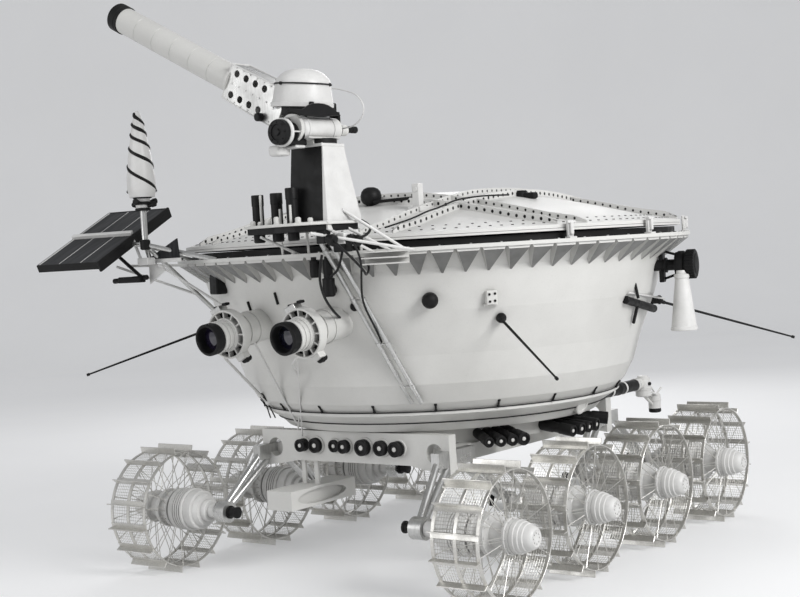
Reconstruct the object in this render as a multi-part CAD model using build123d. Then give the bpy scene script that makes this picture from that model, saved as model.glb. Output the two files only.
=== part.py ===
"""Planetary rover: a tub on eight wire wheels, with a hinged round lid, a steerable aerial and a ninth wheel.

Millimetres. +X is the front, +Y the left side, +Z up. The origin is on the floor, under the tub's axis.
"""
from build123d import *
import os
from math import asin, cos, pi, radians, sin, sqrt

os.makedirs("parts", exist_ok=True)

# Clearances
SEAT_GAP = 0.3
SHAFT_CLEARANCE = 0.3
RUNNING_GAP = 6.0

# Wheels
WHEELBASE = 1705.0
TRACK = 1600.0
WHEELS_A_SIDE = 4
HOOP_R = 235.0
HOOP_THICK = 5.0
HOOP_WIDTH = 14.0
WHEEL_WIDTH = 200.0
LUG_COUNT = 16
LUG_TIP_R = 260.0
LUG_THICK = 5.0
SPOKE_THICK = 4.0
STUB_R = 20.0
STUB_REACH = 110.0
HUB_INNER_FACE = -60.0
DRUM_OUTER_FACE = -68.0
# Turning hub: (outward offset from the wheel's middle, radius), from the inner face to the outer end
HUB_STEPS = [(HUB_INNER_FACE, 80), (-40, 80), (-40, 64), (-8, 64), (-8, 78), (8, 78), (8, 46), (74, 46),
             (74, 66), (86, 66), (86, 60), (138, 60), (138, 54), (180, 50)]
# Fixed motor drum: (outward offset, radius), from its outer face inwards
DRUM_STEPS = [(DRUM_OUTER_FACE, 84), (-150, 86), (-150, 78), (-190, 78), (-190, 66), (-215, 60),
              (-215, 44), (-240, 44), (-240, 28), (-285, 28)]
# Where spokes leave the hub: (outward offset, radius)
SPOKE_ROOTS = [(-50, 76), (80, 62)]
HOOP_FLAT = HOOP_R * cos(pi / LUG_COUNT)
HOOP_OFFSET = (WHEEL_WIDTH - HOOP_WIDTH) / 2
AXLE_Z = LUG_TIP_R * cos(pi / LUG_COUNT) + LUG_THICK / 2 * sin(pi / LUG_COUNT)

# Tub: (radius, height) down the outside, from under the flange
RIM_R = 1075.0
RIM_TOP = 1270.0
RIM_THICK = 14.0
RIM_BOTTOM = RIM_TOP - RIM_THICK
TUB_TOP_R = RIM_R - 45
WALL_TOP_R = RIM_R - 105
TUB_WALL = [(TUB_TOP_R, RIM_BOTTOM), (WALL_TOP_R, 1190), (921, 1035), (855, 871), (820, 759), (779, 685),
            (745, 652), (745, 634), (692, 603), (655, 566)]
TUB_FLOOR = TUB_WALL[-1][1]
BELLY_R = 540.0
BELLY_BOTTOM = 500.0
SEAM_R = 752.0
SEAM_Z = 643.0

# Pleats under the flange, each as wide as its share of the rim at the top and a point on the wall below
PLEAT_COUNT = 72
PLEAT_GAP = 6.0
PLEAT_DROP = 92.0

# Lid dome: (radius, height) from its middle to its edge
LID_R = RIM_R - 38
LID_BOTTOM = RIM_TOP + 30
LID_DOME = [(0, 1492), (210, 1488), (420, 1466), (710, 1397), (876, 1353), (LID_R, LID_BOTTOM + 22)]
PANEL_R = LID_R - 32
PANEL_THICK = 8.0
DOME_THICK = 8.0
SEAL_R = LID_R - 24
SEAL_WIDTH = 28.0
# Upright webs across the dome, the same in four directions: (distance from its middle, height)
WEBS = [(360, 20), (480, 26)]
WEB_THICK = 6.0
WEB_EDGE = 12.0
WEB_PARTS = 12
LOCK_AZIMUTHS = [-120, -87, -64, 64, 87, 120]

# Lid hinge, behind the rim
HINGE_X = -(RIM_R + 35)
HINGE_Z = RIM_TOP + 15
HINGE_Y = 250.0
HINGE_BARREL_R = 12.0
HINGE_PIN_R = 5.0
HINGE_LUG_WIDTH = 30.0
EAR_WIDTH = 12.0
EAR_GAP = 5.0

# Chassis
BEAM_X = 600.0
BEAM_DEPTH = 44.0
BEAM_HALF = 470.0
BEAM_LOW = 410.0
BEAM_ARCH = 438.0
BEAM_TOP = 560.0
BEAM_HOLE_R = 38.0
BEAM_HOLE_Y = 400.0
BEAM_HOLE_Z = 488.0
RAIL_Y = 400.0
RAIL_HALF = 30.0
RAIL_LOW = 440.0
RAIL_TOP = BELLY_BOTTOM
KNUCKLE_R = 42.0
KNUCKLE_WIDTH = 56.0
ARM_TUBE = 28.0
ARM_REACH = 235.0
PAD_HALF = 70.0
# Connectors on the front beam: (y, radius, length)
BEAM_PLUGS = [(-240, 26, 40), (-176, 30, 26), (-83, 25, 18), (-27, 27, 30), (69, 32, 34), (155, 30, 28),
              (235, 30, 38)]
PLUG_Z = 503.0
# Connectors on the belly's left edge: (azimuth, radius)
FOOT_PLUGS = [(50, 20), (54, 22), (58, 23), (62, 26), (83, 23), (88, 25), (93, 23), (99, 26), (116, 26)]
FOOT_PLUG_REACH = 160.0
FOOT_PLUG_DROP = 22.0

# Belly ring for the landing deck
RING_INNER_R = 285.0
RING_OUTER_R = 355.0
RING_BOTTOM = 462.0
RING_BOLT_R = 320.0
RING_BOLT_COUNT = 8
RING_HOLE_R = 9.0

# Aerial post and its plate, outside the rim
POST_X = 1135.0
POST_Y = 360.0
POST_TOP_WIDE = 118.0
POST_FOOT_WIDE = 160.0
POST_TOP = 1645.0
PLATE_LOW = RIM_TOP + 66
PLATE_THICK = 12.0
PLATE_TOP = PLATE_LOW + PLATE_THICK
PLATE_INNER_R = RIM_R - 13
PLATE_OUTER_R = 1295.0
PLATE_MIDDLE = 9.0
PLATE_SECTOR = 26.0
PLATE_LEG_R = 5.0
CANISTER_R = 27.0
CANISTER_BELOW = 46.0
# Canisters on the plate: (x, y, height over the plate)
CANISTERS = [(1170, 112, 92), (1185, 206, 96), (1231, 332, 92)]
SHELF_R = RIM_R + 58
SHELF_AZIMUTH = 27.0
SHELF_SECTOR = 8.5
SHELF_LEVELS = [1222.0, 1243.0, 1264.0]
SHELF_THICK = 5.0
STRUT_R = 9.0
STRUT_SPREAD = 22.0

# Steerable aerial, about its tilting axis
PIVOT_Z = 1698.0
AIM_AZIMUTH = -90.0
AIM_ELEVATION = 28.0
TURNTABLE_THICK = 12.0
TURN_DISC_R = 57.0
DRIVE_DRUM_R = 41.0
DRUM_HALF = 78.0
JOURNAL_R = 20.0
ARM_THICK = 12.0
MOTOR_COLLAR_R = 48.0
MOTOR_COLLAR = 148.0
MOTOR_END = 205.0
STUB_NEAR = 140.0
STUB_FAR = 185.0
SADDLE_BOTTOM = 48.0
SADDLE_PLATE = 8.0
SADDLE_HALF = 84.0
SADDLE_RISE = 36.0
DOME_FORWARD = 65.0
DOME_R = 98.0
DOME_FOOT_R = 112.0
DOME_BOTTOM = 84.0
DOME_SEAM = 164.0
DOME_RISE = 54.0
LINE_UP = 8.0
BRACKET_START = 150.0
BRACKET_END = 435.0
BRACKET_ROOT_HALF = 72.0
BRACKET_TIP_HALF = 64.0
BRACKET_HALF_WIDTH = 46.0
BRACKET_WALL = 4.0
BRACKET_HOLE_R = 13.0
BRACKET_HOLE_PITCH = 48.0
BRACKET_HOLES = 4
TUBE_LENGTH = 625.0
TUBE_R = 51.0
TIP_LENGTH = 50.0
TIP_R = TUBE_R + 3

# Television cameras on the front wall
CAMERA_Y = 185.0
CAMERA_Z = 972.0
# Camera: (distance forward of the tub's axis, radius)
CAMERA_STEPS = [(820, 62), (1046, 62), (1046, 78), (1062, 78), (1062, 92), (1094, 92), (1094, 60),
                (1180, 54), (1180, 58), (1200, 58)]
CAMERA_MOUTH_R = 48.0
CAMERA_MOUTH_DEPTH = 60.0
CAMERA_RIBS = 10

# Panorama cameras under the rim, each with its cone
PANORAMA_AZIMUTH = 104.0
PANORAMA_Z = 1140.0
PANORAMA_R = 1052.0
CONE_AZIMUTH = 102.0
CONE_R = 1065.0
CONE_BOTTOM = 880.0
CONE_FOOT_R = 52.0
CONE_TOP_R = 24.0

# Whips: (foot, tip), on the left side
WHIP_R = 5.0
WHIP_BOSS_R = 16.0
WHIPS = [((575, 698, 994), (947, 1152, 812)), ((-421, 817, 993), (-720, 1290, 808))]

# Front right bracket, reflector panel and spiral aerial
MAST_X = 1150.0
MAST_Y = -530.0
MAST_NODE_Z = 1340.0
MAST_TOP = 1478.0
SPIRAL_HUB_R = 27.0
# Spiral aerial's cone: (radius, height) from its foot to its top
SPIRAL_CONE = [(48, 1522), (55, 1550), (55, 1585), (44, 1678), (25, 1788), (14, 1838), (8, 1850)]
REFLECTOR = (480.0, 300.0, 26.0)
REFLECTOR_MIDDLE = (1160, -745, 1371)
REFLECTOR_TURN = 8.0
REFLECTOR_SLOPE = 24.4
FIN_X = 1100.0
FIN_BASE = 1282.0
# Upright dark fin: (y, height)
FIN_OUTLINE = [(-576, FIN_BASE), (-400, FIN_BASE), (-407, FIN_BASE + 75)]
FIN_THICK = 6.0
# Where the bracket's bars end: on the flange twice, on the wall, under the panel and under the fin
BRACKET_ENDS = [(905, -520, RIM_TOP - 3), (1005, -300, RIM_TOP - 3), (760, -456, 980), (1165, -700, 1352),
                (FIN_X, -560, FIN_BASE - 5)]
BAR_R = 9.0

# Spectrometer under the front beam, hung at its back by straps
SPECTRO_LOW = (400.0, -301.0, 265.0)
SPECTRO_HIGH = (800.0, -175.0, 341.0)
SPECTRO_MOUTH = (150.0, 28.0)
STRAP_WIDTH = 20.0

# Heater behind the tub
HEATER_Y = 460.0
HEATER_X = -950.0
HEATER_ROOT_X = -445.0
HEATER_R = 34.0
FLASK_X = -1055.0
FLASK_R = 27.0

# Ninth wheel on its trailing arm
ODO_R = 105.0
ODO_X = -1290.0
ODO_PIVOT = (-680.0, 0.0, 470.0)
ODO_PIN_R = 8.0
ODO_AXLE_R = 6.0
ODO_FORK = 30.0
ODO_CROSS = (-1000.0, 0.0, 330.0)
ODO_SPOKES = 6


def turned(outline):
    """A solid of revolution about +Z from (radius, height) points."""
    return revolve(Plane.XZ * make_face(Polyline(*outline, close=True)), Axis.Z)


def ring_of(inner, outer, low, high):
    """A flat ring about +Z."""
    return turned([(inner, low), (outer, low), (outer, high), (inner, high)])


def rod(start, end, radius):
    """A round bar from one point to another."""
    along = Vector(*end) - Vector(*start)
    bar = Cylinder(radius, along.length, align=(Align.CENTER, Align.CENTER, Align.MIN))
    return Plane(origin=start, z_dir=along) * bar


def block(low, high):
    """A box between two corners, in any order."""
    size = [abs(b - a) for a, b in zip(low, high)]
    corner = [min(a, b) for a, b in zip(low, high)]
    return Pos(*corner) * Box(*size, align=(Align.MIN, Align.MIN, Align.MIN))


def around(radius, azimuth, height):
    """A point at a radius, an azimuth from +X in degrees and a height."""
    return (radius * cos(radians(azimuth)), radius * sin(radians(azimuth)), height)


def sector(middle, width, reach, low, high):
    """A wedge about the tub's axis, to cut a ring with."""
    first = around(reach, middle - width / 2, 0)[:2]
    last = around(reach, middle + width / 2, 0)[:2]
    face = make_face(Polyline((0, 0), first, last, close=True))
    return Pos(0, 0, low) * extrude(face, high - low)


def wall_radius(height):
    """The tub's outer radius at a height on its wall."""
    for (upper_r, upper_z), (lower_r, lower_z) in zip(TUB_WALL, TUB_WALL[1:]):
        if lower_z <= height <= upper_z and upper_z > lower_z:
            return lower_r + (upper_r - lower_r) * (height - lower_z) / (upper_z - lower_z)
    return TUB_WALL[-1][0]


nodes = {}
sides = {"left": 1, "right": -1}


# Wheels
def on_wheel_axis(steps, side):
    """A turned solid about the wheel's axis from (outward offset, radius) steps, closed on the axis."""
    outline = [(0, steps[0][0])] + [(radius, offset) for offset, radius in steps] + [(0, steps[-1][0])]
    return Rot(-90 * side, 0, 0) * turned(outline)


def hoop(offset):
    """One flat hoop with straight runs between the lugs, across the Y axis."""
    outline = RegularPolygon(HOOP_R, LUG_COUNT) - RegularPolygon(HOOP_R - HOOP_THICK, LUG_COUNT)
    return Pos(0, offset, 0) * extrude(Plane.XZ * outline, HOOP_WIDTH / 2, both=True)


def wheel_rim():
    """The two outer hoops joined by cross lugs, about the Y axis, with a gap between lugs at the bottom."""
    lug = block((-LUG_THICK / 2, -WHEEL_WIDTH / 2, HOOP_FLAT), (LUG_THICK / 2, WHEEL_WIDTH / 2, LUG_TIP_R))
    rim = hoop(-HOOP_OFFSET) + hoop(HOOP_OFFSET)
    for number in range(LUG_COUNT):
        rim += Rot(0, (number + 0.5) * 360 / LUG_COUNT, 0) * lug
    return rim


def wheel_hub(side):
    """The turning hub, whose spokes lean in from two flanges to the middle hoop, on which the lugs rest."""
    hub = on_wheel_axis(HUB_STEPS, side) + hoop(0)
    half = SPOKE_THICK / 2
    end_r = HOOP_FLAT - HOOP_THICK / 2
    for number in range(LUG_COUNT):
        root, root_r = SPOKE_ROOTS[number % 2]
        root *= side
        outline = [(root - half, root_r), (root + half, root_r), (half, end_r), (-half, end_r)]
        spoke = extrude(Plane.YZ * make_face(Polyline(*outline, close=True)), half, both=True)
        hub += Rot(0, (number + 0.5) * 360 / LUG_COUNT, 0) * spoke
    bore_r = STUB_R + SHAFT_CLEARANCE
    return hub - on_wheel_axis([(HUB_INNER_FACE - 1, bore_r), (HUB_INNER_FACE + STUB_REACH, bore_r)], side)


def motor_drum(side):
    """The fixed drum inboard of a wheel, with the stub axle that carries its hub."""
    stub_end = HUB_INNER_FACE + STUB_REACH - RUNNING_GAP
    return on_wheel_axis([(stub_end, STUB_R), (DRUM_OUTER_FACE, STUB_R)] + DRUM_STEPS, side)


def suspension_arm(x, side, inward):
    """A knuckle at a wheel's motor, a pad against the rail, and two tubes between them."""
    knuckle_out = TRACK / 2 + DRUM_STEPS[-1][0]
    knuckle_in = knuckle_out - KNUCKLE_WIDTH
    rail_face = RAIL_Y + RAIL_HALF
    arm = rod((x, side * knuckle_in, AXLE_Z), (x, side * knuckle_out, AXLE_Z), KNUCKLE_R)
    pad_x = x + inward * ARM_REACH
    pad_low = (pad_x - PAD_HALF, side * rail_face, RAIL_LOW)
    arm += block(pad_low, (pad_x + PAD_HALF, side * (knuckle_in + 8), RAIL_TOP))
    foot_y = side * (knuckle_in + KNUCKLE_WIDTH / 2)
    head_y = side * (rail_face + ARM_TUBE / 2 + 1)
    for shift in (-45, 45):
        foot = (x + shift / 3, foot_y, AXLE_Z + 8)
        head = (pad_x + shift, head_y, (RAIL_LOW + RAIL_TOP) / 2)
        arm += rod(foot, head, ARM_TUBE / 2)
    return arm


def cross_beam(direction):
    """A cross plate with an arched lower edge and two round holes, facing forward or back."""
    arch = [(BEAM_HALF, BEAM_LOW), (BEAM_HALF - 110, BEAM_LOW + 14), (BEAM_HALF - 190, BEAM_ARCH)]
    lower = [(-y, z) for y, z in arch] + list(reversed(arch))
    outline = make_face(Polyline(*lower, (BEAM_HALF, BEAM_TOP), (-BEAM_HALF, BEAM_TOP), close=True))
    beam = Pos(direction * BEAM_X, 0, 0) * extrude(Plane.YZ * outline, BEAM_DEPTH / 2, both=True)
    near, far = direction * (BEAM_X - BEAM_DEPTH), direction * (BEAM_X + BEAM_DEPTH)
    for y in (-BEAM_HOLE_Y, BEAM_HOLE_Y):
        beam -= rod((near, y, BEAM_HOLE_Z), (far, y, BEAM_HOLE_Z), BEAM_HOLE_R)
    return beam


axle_x = [WHEELBASE / 2 - number * WHEELBASE / (WHEELS_A_SIDE - 1) for number in range(WHEELS_A_SIDE)]
rim = wheel_rim()
nodes["front_beam"] = cross_beam(1)
nodes["rear_beam"] = cross_beam(-1)
for side_name, side in sides.items():
    hub = wheel_hub(side)
    drum = motor_drum(side)
    drums = Part()
    arms = Part()
    for number, x in enumerate(axle_x):
        place = Pos(x, side * TRACK / 2, AXLE_Z)
        nodes[f"wheel_{side_name}_{number + 1}_rim"] = place * rim
        nodes[f"wheel_{side_name}_{number + 1}_hub"] = place * hub
        drums += place * drum
        arms += suspension_arm(x, side, -1 if number % 2 == 0 else 1)
    nodes[f"motor_drums_{side_name}"] = drums
    nodes[f"suspension_arms_{side_name}"] = arms - nodes["front_beam"] - nodes["rear_beam"]

rail_end = BEAM_X - BEAM_DEPTH / 2
rails = Part()
for side in sides.values():
    near_face, far_face = side * (RAIL_Y - RAIL_HALF), side * (RAIL_Y + RAIL_HALF)
    rails += block((-rail_end, near_face, RAIL_LOW), (rail_end, far_face, RAIL_TOP))
nodes["chassis_rails"] = rails

# Tub, flange, radiator and belly
tub = turned([(0, RIM_BOTTOM)] + TUB_WALL + [(0, TUB_FLOOR)])
tub += ring_of(SEAM_R - 20, SEAM_R, SEAM_Z - 5, SEAM_Z + 5)
nodes["tub"] = tub


def pleat():
    """One pleat: a slope from the flange's edge to the wall, narrowed to a point at its foot."""
    half = pi * (RIM_R - 8) / PLEAT_COUNT - PLEAT_GAP / 2
    foot_z = RIM_BOTTOM - PLEAT_DROP
    slope = [(WALL_TOP_R + 3, RIM_BOTTOM + 2), (RIM_R - 8, RIM_BOTTOM + 2), (RIM_R - 8, RIM_BOTTOM - 10),
             (WALL_TOP_R - 16, foot_z)]
    side_on = extrude(Plane.XZ * make_face(Polyline(*slope, close=True)), half, both=True)
    front_on = make_face(Polyline((-half, RIM_BOTTOM + 2), (half, RIM_BOTTOM + 2), (0, foot_z), close=True))
    return (side_on & extrude(Plane.YZ * front_on, RIM_R)) - tub


flange = ring_of(WALL_TOP_R, RIM_R, RIM_BOTTOM, RIM_TOP)
one_pleat = pleat()
for number in range(PLEAT_COUNT):
    flange += Rot(0, 0, (number + 0.5) * 360 / PLEAT_COUNT) * one_pleat
shelf = Part()
for level in SHELF_LEVELS:
    shelf += ring_of(RIM_R - 4, SHELF_R, level - SHELF_THICK, level)
shelf += ring_of(RIM_R - 4, RIM_R + 6, SHELF_LEVELS[0] - SHELF_THICK, SHELF_LEVELS[-1])
nodes["rim_flange"] = flange + (shelf & sector(SHELF_AZIMUTH, SHELF_SECTOR, 2 * RIM_R, 1000, 1400))
nodes["radiator"] = turned([(0, RIM_BOTTOM), (WALL_TOP_R, RIM_BOTTOM), (WALL_TOP_R, RIM_TOP + 6),
                            (0, RIM_TOP + 18)])
nodes["lid_seal"] = ring_of(SEAL_R - SEAL_WIDTH, SEAL_R, RIM_TOP, LID_BOTTOM - RUNNING_GAP)
nodes["belly_pan"] = turned([(0, TUB_FLOOR), (BELLY_R, TUB_FLOOR), (BELLY_R, BELLY_BOTTOM),
                             (0, BELLY_BOTTOM)])
ring = ring_of(RING_INNER_R, RING_OUTER_R, RING_BOTTOM, BELLY_BOTTOM)
for number in range(RING_BOLT_COUNT):
    x, y, z = around(RING_BOLT_R, (number + 0.5) * 360 / RING_BOLT_COUNT, RING_BOTTOM - 1)
    ring -= rod((x, y, z), (x, y, BELLY_BOTTOM + 1), RING_HOLE_R)
nodes["landing_ring"] = ring

# Cable connectors on the front beam and on the tub's left foot
plugs = Part()
beam_face = BEAM_X + BEAM_DEPTH / 2
for y, radius, length in BEAM_PLUGS:
    plugs += rod((beam_face, y, PLUG_Z), (beam_face + length, y, PLUG_Z), radius * 0.8)
    plugs += rod((beam_face, y, PLUG_Z), (beam_face + 9, y, PLUG_Z), radius)
foot_plug_z = (TUB_FLOOR + BELLY_BOTTOM) / 2
for azimuth, radius in FOOT_PLUGS:
    root = around(BELLY_R - 20, azimuth, foot_plug_z)
    plugs += rod(root, around(BELLY_R + FOOT_PLUG_REACH, azimuth, foot_plug_z - FOOT_PLUG_DROP), radius)
nodes["beam_connectors"] = plugs - tub - nodes["belly_pan"]

# Lid
def lid_height(radius):
    """The height of the dome's outside at a radius."""
    for (inner_r, inner_z), (outer_r, outer_z) in zip(LID_DOME, LID_DOME[1:]):
        if radius <= outer_r:
            return inner_z + (outer_z - inner_z) * (radius - inner_r) / (outer_r - inner_r)
    return LID_DOME[-1][1]


def web(place, height):
    """An upright web along X that follows the dome and ends in a slope at both edges."""
    reach = sqrt((LID_R - WEB_EDGE) ** 2 - place ** 2)
    along = [reach * (2 * part / WEB_PARTS - 1) for part in range(WEB_PARTS + 1)]
    foot = [(x, lid_height(sqrt(x * x + place * place)) - DOME_THICK / 2) for x in along]
    top = [(x, z + DOME_THICK / 2 + height) for x, z in foot[1:-1]]
    outline = foot + [(reach, foot[-1][1] + DOME_THICK)] + top[::-1] + [(-reach, foot[0][1] + DOME_THICK)]
    face = Plane.XZ * make_face(Polyline(*outline, close=True))
    return Pos(0, place, 0) * extrude(face, WEB_THICK / 2, both=True)


last = len(LID_DOME) - 1
dome = turned([(0, LID_BOTTOM + PANEL_THICK), (LID_R, LID_BOTTOM + PANEL_THICK)] + list(reversed(LID_DOME)))
hollow = [(radius, height - DOME_THICK) for radius, height in LID_DOME[:last]]
hollow.append((PANEL_R, LID_DOME[last][1] - DOME_THICK + 4))
dome -= turned([(0, LID_BOTTOM), (PANEL_R, LID_BOTTOM)] + list(reversed(hollow)))
for place, height in WEBS:
    upright = web(place, height)
    for number in range(4):
        dome += Rot(0, 0, number * 90) * upright
nodes["lid_dome"] = dome
frame_inner = PANEL_R + SEAT_GAP
lid_frame = ring_of(frame_inner, LID_R, LID_BOTTOM, LID_BOTTOM + PANEL_THICK)
panel_top = LID_BOTTOM + PANEL_THICK
nodes["solar_panel"] = turned([(0, LID_BOTTOM), (PANEL_R, LID_BOTTOM), (PANEL_R, panel_top), (0, panel_top)])

# Lid hinge
ears = Part()
lug_half = HINGE_LUG_WIDTH / 2
seat_x = -sqrt(LID_R ** 2 - HINGE_Y ** 2) + 8
for side in sides.values():
    y = side * HINGE_Y
    lug = rod((HINGE_X, y - lug_half, HINGE_Z), (HINGE_X, y + lug_half, HINGE_Z), HINGE_BARREL_R)
    lug += block((HINGE_X, y - lug_half, HINGE_Z - 2), (seat_x - 30, y + lug_half, HINGE_Z + 10))
    lug += block((seat_x - 40, y - lug_half, HINGE_Z - 2), (seat_x, y + lug_half, LID_BOTTOM + PANEL_THICK))
    pin_half = lug_half + EAR_GAP + EAR_WIDTH
    bore_r = HINGE_PIN_R + SHAFT_CLEARANCE
    lid_frame += lug - rod((HINGE_X, y - pin_half, HINGE_Z), (HINGE_X, y + pin_half, HINGE_Z), bore_r)
    ear_pair = rod((HINGE_X, y - pin_half, HINGE_Z), (HINGE_X, y + pin_half, HINGE_Z), HINGE_PIN_R)
    for end in (-1, 1):
        near = y + end * (lug_half + EAR_GAP)
        far = near + end * EAR_WIDTH
        ear_pair += rod((HINGE_X, near, HINGE_Z), (HINGE_X, far, HINGE_Z), HINGE_BARREL_R + 2)
        ear_pair += block((HINGE_X, near, RIM_TOP), (-LID_R - RUNNING_GAP, far, HINGE_Z + 8))
    ears += ear_pair
nodes["lid_frame"] = lid_frame
nodes["lid_hinge_ears"] = ears
locks = Part()
for azimuth in LOCK_AZIMUTHS:
    locks += Rot(0, 0, azimuth) * block((LID_R + 8, -14, RIM_TOP), (RIM_R - 2, 14, RIM_TOP + 62))
nodes["lid_locks"] = locks

# Aerial post with its plate, canisters and struts
plate = ring_of(PLATE_INNER_R, PLATE_OUTER_R, PLATE_LOW, PLATE_TOP)
plate = plate & sector(PLATE_MIDDLE, PLATE_SECTOR, 2 * PLATE_OUTER_R, PLATE_LOW - 10, PLATE_TOP + 10)
for number in range(4):
    azimuth = PLATE_MIDDLE + (number - 1.5) * PLATE_SECTOR * 0.27
    plate += rod(around(RIM_R - 7, azimuth, RIM_TOP), around(RIM_R - 7, azimuth, PLATE_LOW + 1), PLATE_LEG_R)
canisters = Part()
for x, y, height in CANISTERS:
    canisters += rod((x, y, PLATE_LOW - CANISTER_BELOW), (x, y, PLATE_TOP + height), CANISTER_R)
nodes["star_canisters"] = canisters
nodes["aerial_base_plate"] = plate - canisters
foot_face = Plane(origin=(POST_X, POST_Y, PLATE_TOP)) * Rectangle(POST_FOOT_WIDE, POST_FOOT_WIDE)
head_face = Plane(origin=(POST_X, POST_Y, POST_TOP)) * Rectangle(POST_TOP_WIDE, POST_TOP_WIDE)
nodes["aerial_post"] = loft([foot_face, head_face]) - canisters
struts = Part()
for shift in (-STRUT_SPREAD, STRUT_SPREAD):
    struts += rod((690, 383 + shift, 690), (1088, 300 + shift, PLATE_LOW), STRUT_R)
struts -= block((600, 0, PLATE_LOW), (PLATE_OUTER_R, 700, PLATE_TOP + 60))
nodes["aerial_struts"] = struts - tub - nodes["rim_flange"]


# Aerial head, built about its tilting axis with its aim along +X and then turned to the rover's right
def aimed(piece, elevation=0.0):
    """Puts a piece of the head at its place on the post."""
    return Pos(POST_X, POST_Y, PIVOT_Z) * Rot(0, 0, AIM_AZIMUTH) * Rot(0, -elevation, 0) * piece


def across(near, far, radius):
    """A round bar along the tilting axis."""
    return rod((0, near, 0), (0, far, 0), radius)


disc_low = POST_TOP - PIVOT_Z + SEAT_GAP
turntable = rod((0, 0, disc_low), (0, 0, disc_low + TURNTABLE_THICK), TURN_DISC_R)
turntable += block((-22, -62, disc_low), (22, 62, 0))
turntable += across(-DRUM_HALF, DRUM_HALF, DRIVE_DRUM_R)
turntable += across(-STUB_NEAR, MOTOR_COLLAR + 10, JOURNAL_R)
turntable += across(MOTOR_COLLAR - 16, MOTOR_COLLAR, MOTOR_COLLAR_R)
nodes["aerial_turntable"] = aimed(turntable)
drive_motor = across(MOTOR_COLLAR, MOTOR_END, DRIVE_DRUM_R) - across(0, MOTOR_COLLAR + 10, JOURNAL_R)
nodes["aerial_drive_motor"] = aimed(drive_motor + across(-STUB_FAR, -STUB_NEAR, JOURNAL_R - 5))

arm_near = DRUM_HALF + RUNNING_GAP
arm_far = arm_near + ARM_THICK
saddle_top = SADDLE_BOTTOM + SADDLE_PLATE
saddle = block((-SADDLE_HALF / 2, -arm_far, SADDLE_BOTTOM), (SADDLE_HALF, arm_far, saddle_top))
arch_r = (SADDLE_HALF ** 2 + SADDLE_RISE ** 2) / (2 * SADDLE_RISE)
arch = Pos(0, 0, saddle_top + SADDLE_RISE - arch_r) * Rot(90, 0, 0) * Cylinder(arch_r, 2 * DRUM_HALF)
arch_top = saddle_top + SADDLE_RISE
saddle += arch & block((-SADDLE_HALF, -DRUM_HALF, saddle_top - 1), (SADDLE_HALF, DRUM_HALF, arch_top))
for side in sides.values():
    saddle += block((-20, side * arm_near, 0), (20, side * arm_far, saddle_top))
    saddle += across(side * arm_near, side * arm_far, 30)
saddle -= across(-2 * arm_far, 2 * arm_far, JOURNAL_R + SHAFT_CLEARANCE)
nodes["aerial_cradle"] = aimed(saddle)
cap_r = (DOME_R ** 2 + DOME_RISE ** 2) / (2 * DOME_RISE)
cap_turn = asin(DOME_R / cap_r)
cap = [(cap_r * sin(cap_turn * part / 5), DOME_SEAM + DOME_RISE - cap_r * (1 - cos(cap_turn * part / 5)))
       for part in (4, 3, 2, 1)]
skirt = [(0, DOME_BOTTOM), (DOME_FOOT_R, DOME_BOTTOM), (DOME_FOOT_R, DOME_BOTTOM + 14), (DOME_R, DOME_SEAM)]
housing = turned(skirt + cap + [(0, DOME_SEAM + DOME_RISE)])
housing = Pos(DOME_FORWARD, 0, 0) * housing - saddle
nodes["aerial_dome"] = aimed(housing)


def bracket_box(inset):
    """The bracket's tapered box between the housing and the tube, or its inside."""
    ends = [BRACKET_START, BRACKET_END]
    halves = [BRACKET_ROOT_HALF - inset, BRACKET_TIP_HALF - inset]
    outline = [(ends[0], -halves[0]), (ends[1], -halves[1]), (ends[1], halves[1]), (ends[0], halves[0])]
    face = Plane.XZ * make_face(Polyline(*outline, close=True))
    return extrude(face, BRACKET_HALF_WIDTH - inset, both=True)


bracket = bracket_box(0) - bracket_box(BRACKET_WALL)
bracket += block((BRACKET_END - BRACKET_WALL, -BRACKET_HALF_WIDTH, -BRACKET_TIP_HALF),
                 (BRACKET_END, BRACKET_HALF_WIDTH, BRACKET_TIP_HALF))
hole_reach = 2 * BRACKET_HALF_WIDTH
for number in range(BRACKET_HOLES):
    x = BRACKET_END - (number + 0.8) * BRACKET_HOLE_PITCH
    for z in (-BRACKET_TIP_HALF * 0.62, BRACKET_TIP_HALF * 0.62):
        bracket -= rod((x, -hole_reach, z), (x, hole_reach, z), BRACKET_HOLE_R)
bracket = aimed(Pos(0, 0, LINE_UP) * bracket, AIM_ELEVATION)
nodes["aerial_bracket"] = bracket - nodes["aerial_dome"] - nodes["aerial_cradle"]
tube_start = (BRACKET_END, 0, LINE_UP)
tube_end = (BRACKET_END + TUBE_LENGTH, 0, LINE_UP)
tip_end = (BRACKET_END + TUBE_LENGTH + TIP_LENGTH, 0, LINE_UP)
nodes["aerial_tube"] = aimed(rod(tube_start, tube_end, TUBE_R), AIM_ELEVATION)
nodes["aerial_tip"] = aimed(rod(tube_end, tip_end, TIP_R), AIM_ELEVATION)


# Cameras
def tv_camera():
    """A camera with a ribbed flange and a hooded mouth, forward along +X."""
    outline = [(0, CAMERA_STEPS[0][0])] + [(radius, along) for along, radius in CAMERA_STEPS]
    outline.append((0, CAMERA_STEPS[-1][0]))
    camera = Rot(0, 90, 0) * turned(outline)
    face, mouth = CAMERA_STEPS[5][0], CAMERA_STEPS[-1][0]
    camera -= rod((mouth - CAMERA_MOUTH_DEPTH, 0, 0), (mouth + 1, 0, 0), CAMERA_MOUTH_R)
    for number in range(CAMERA_RIBS):
        rib_block = block((face - 1, -3, CAMERA_STEPS[6][1] - 6), (face + 14, 3, CAMERA_STEPS[4][1] - 6))
        camera += Rot(number * 360 / CAMERA_RIBS, 0, 0) * rib_block
    return camera


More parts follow.
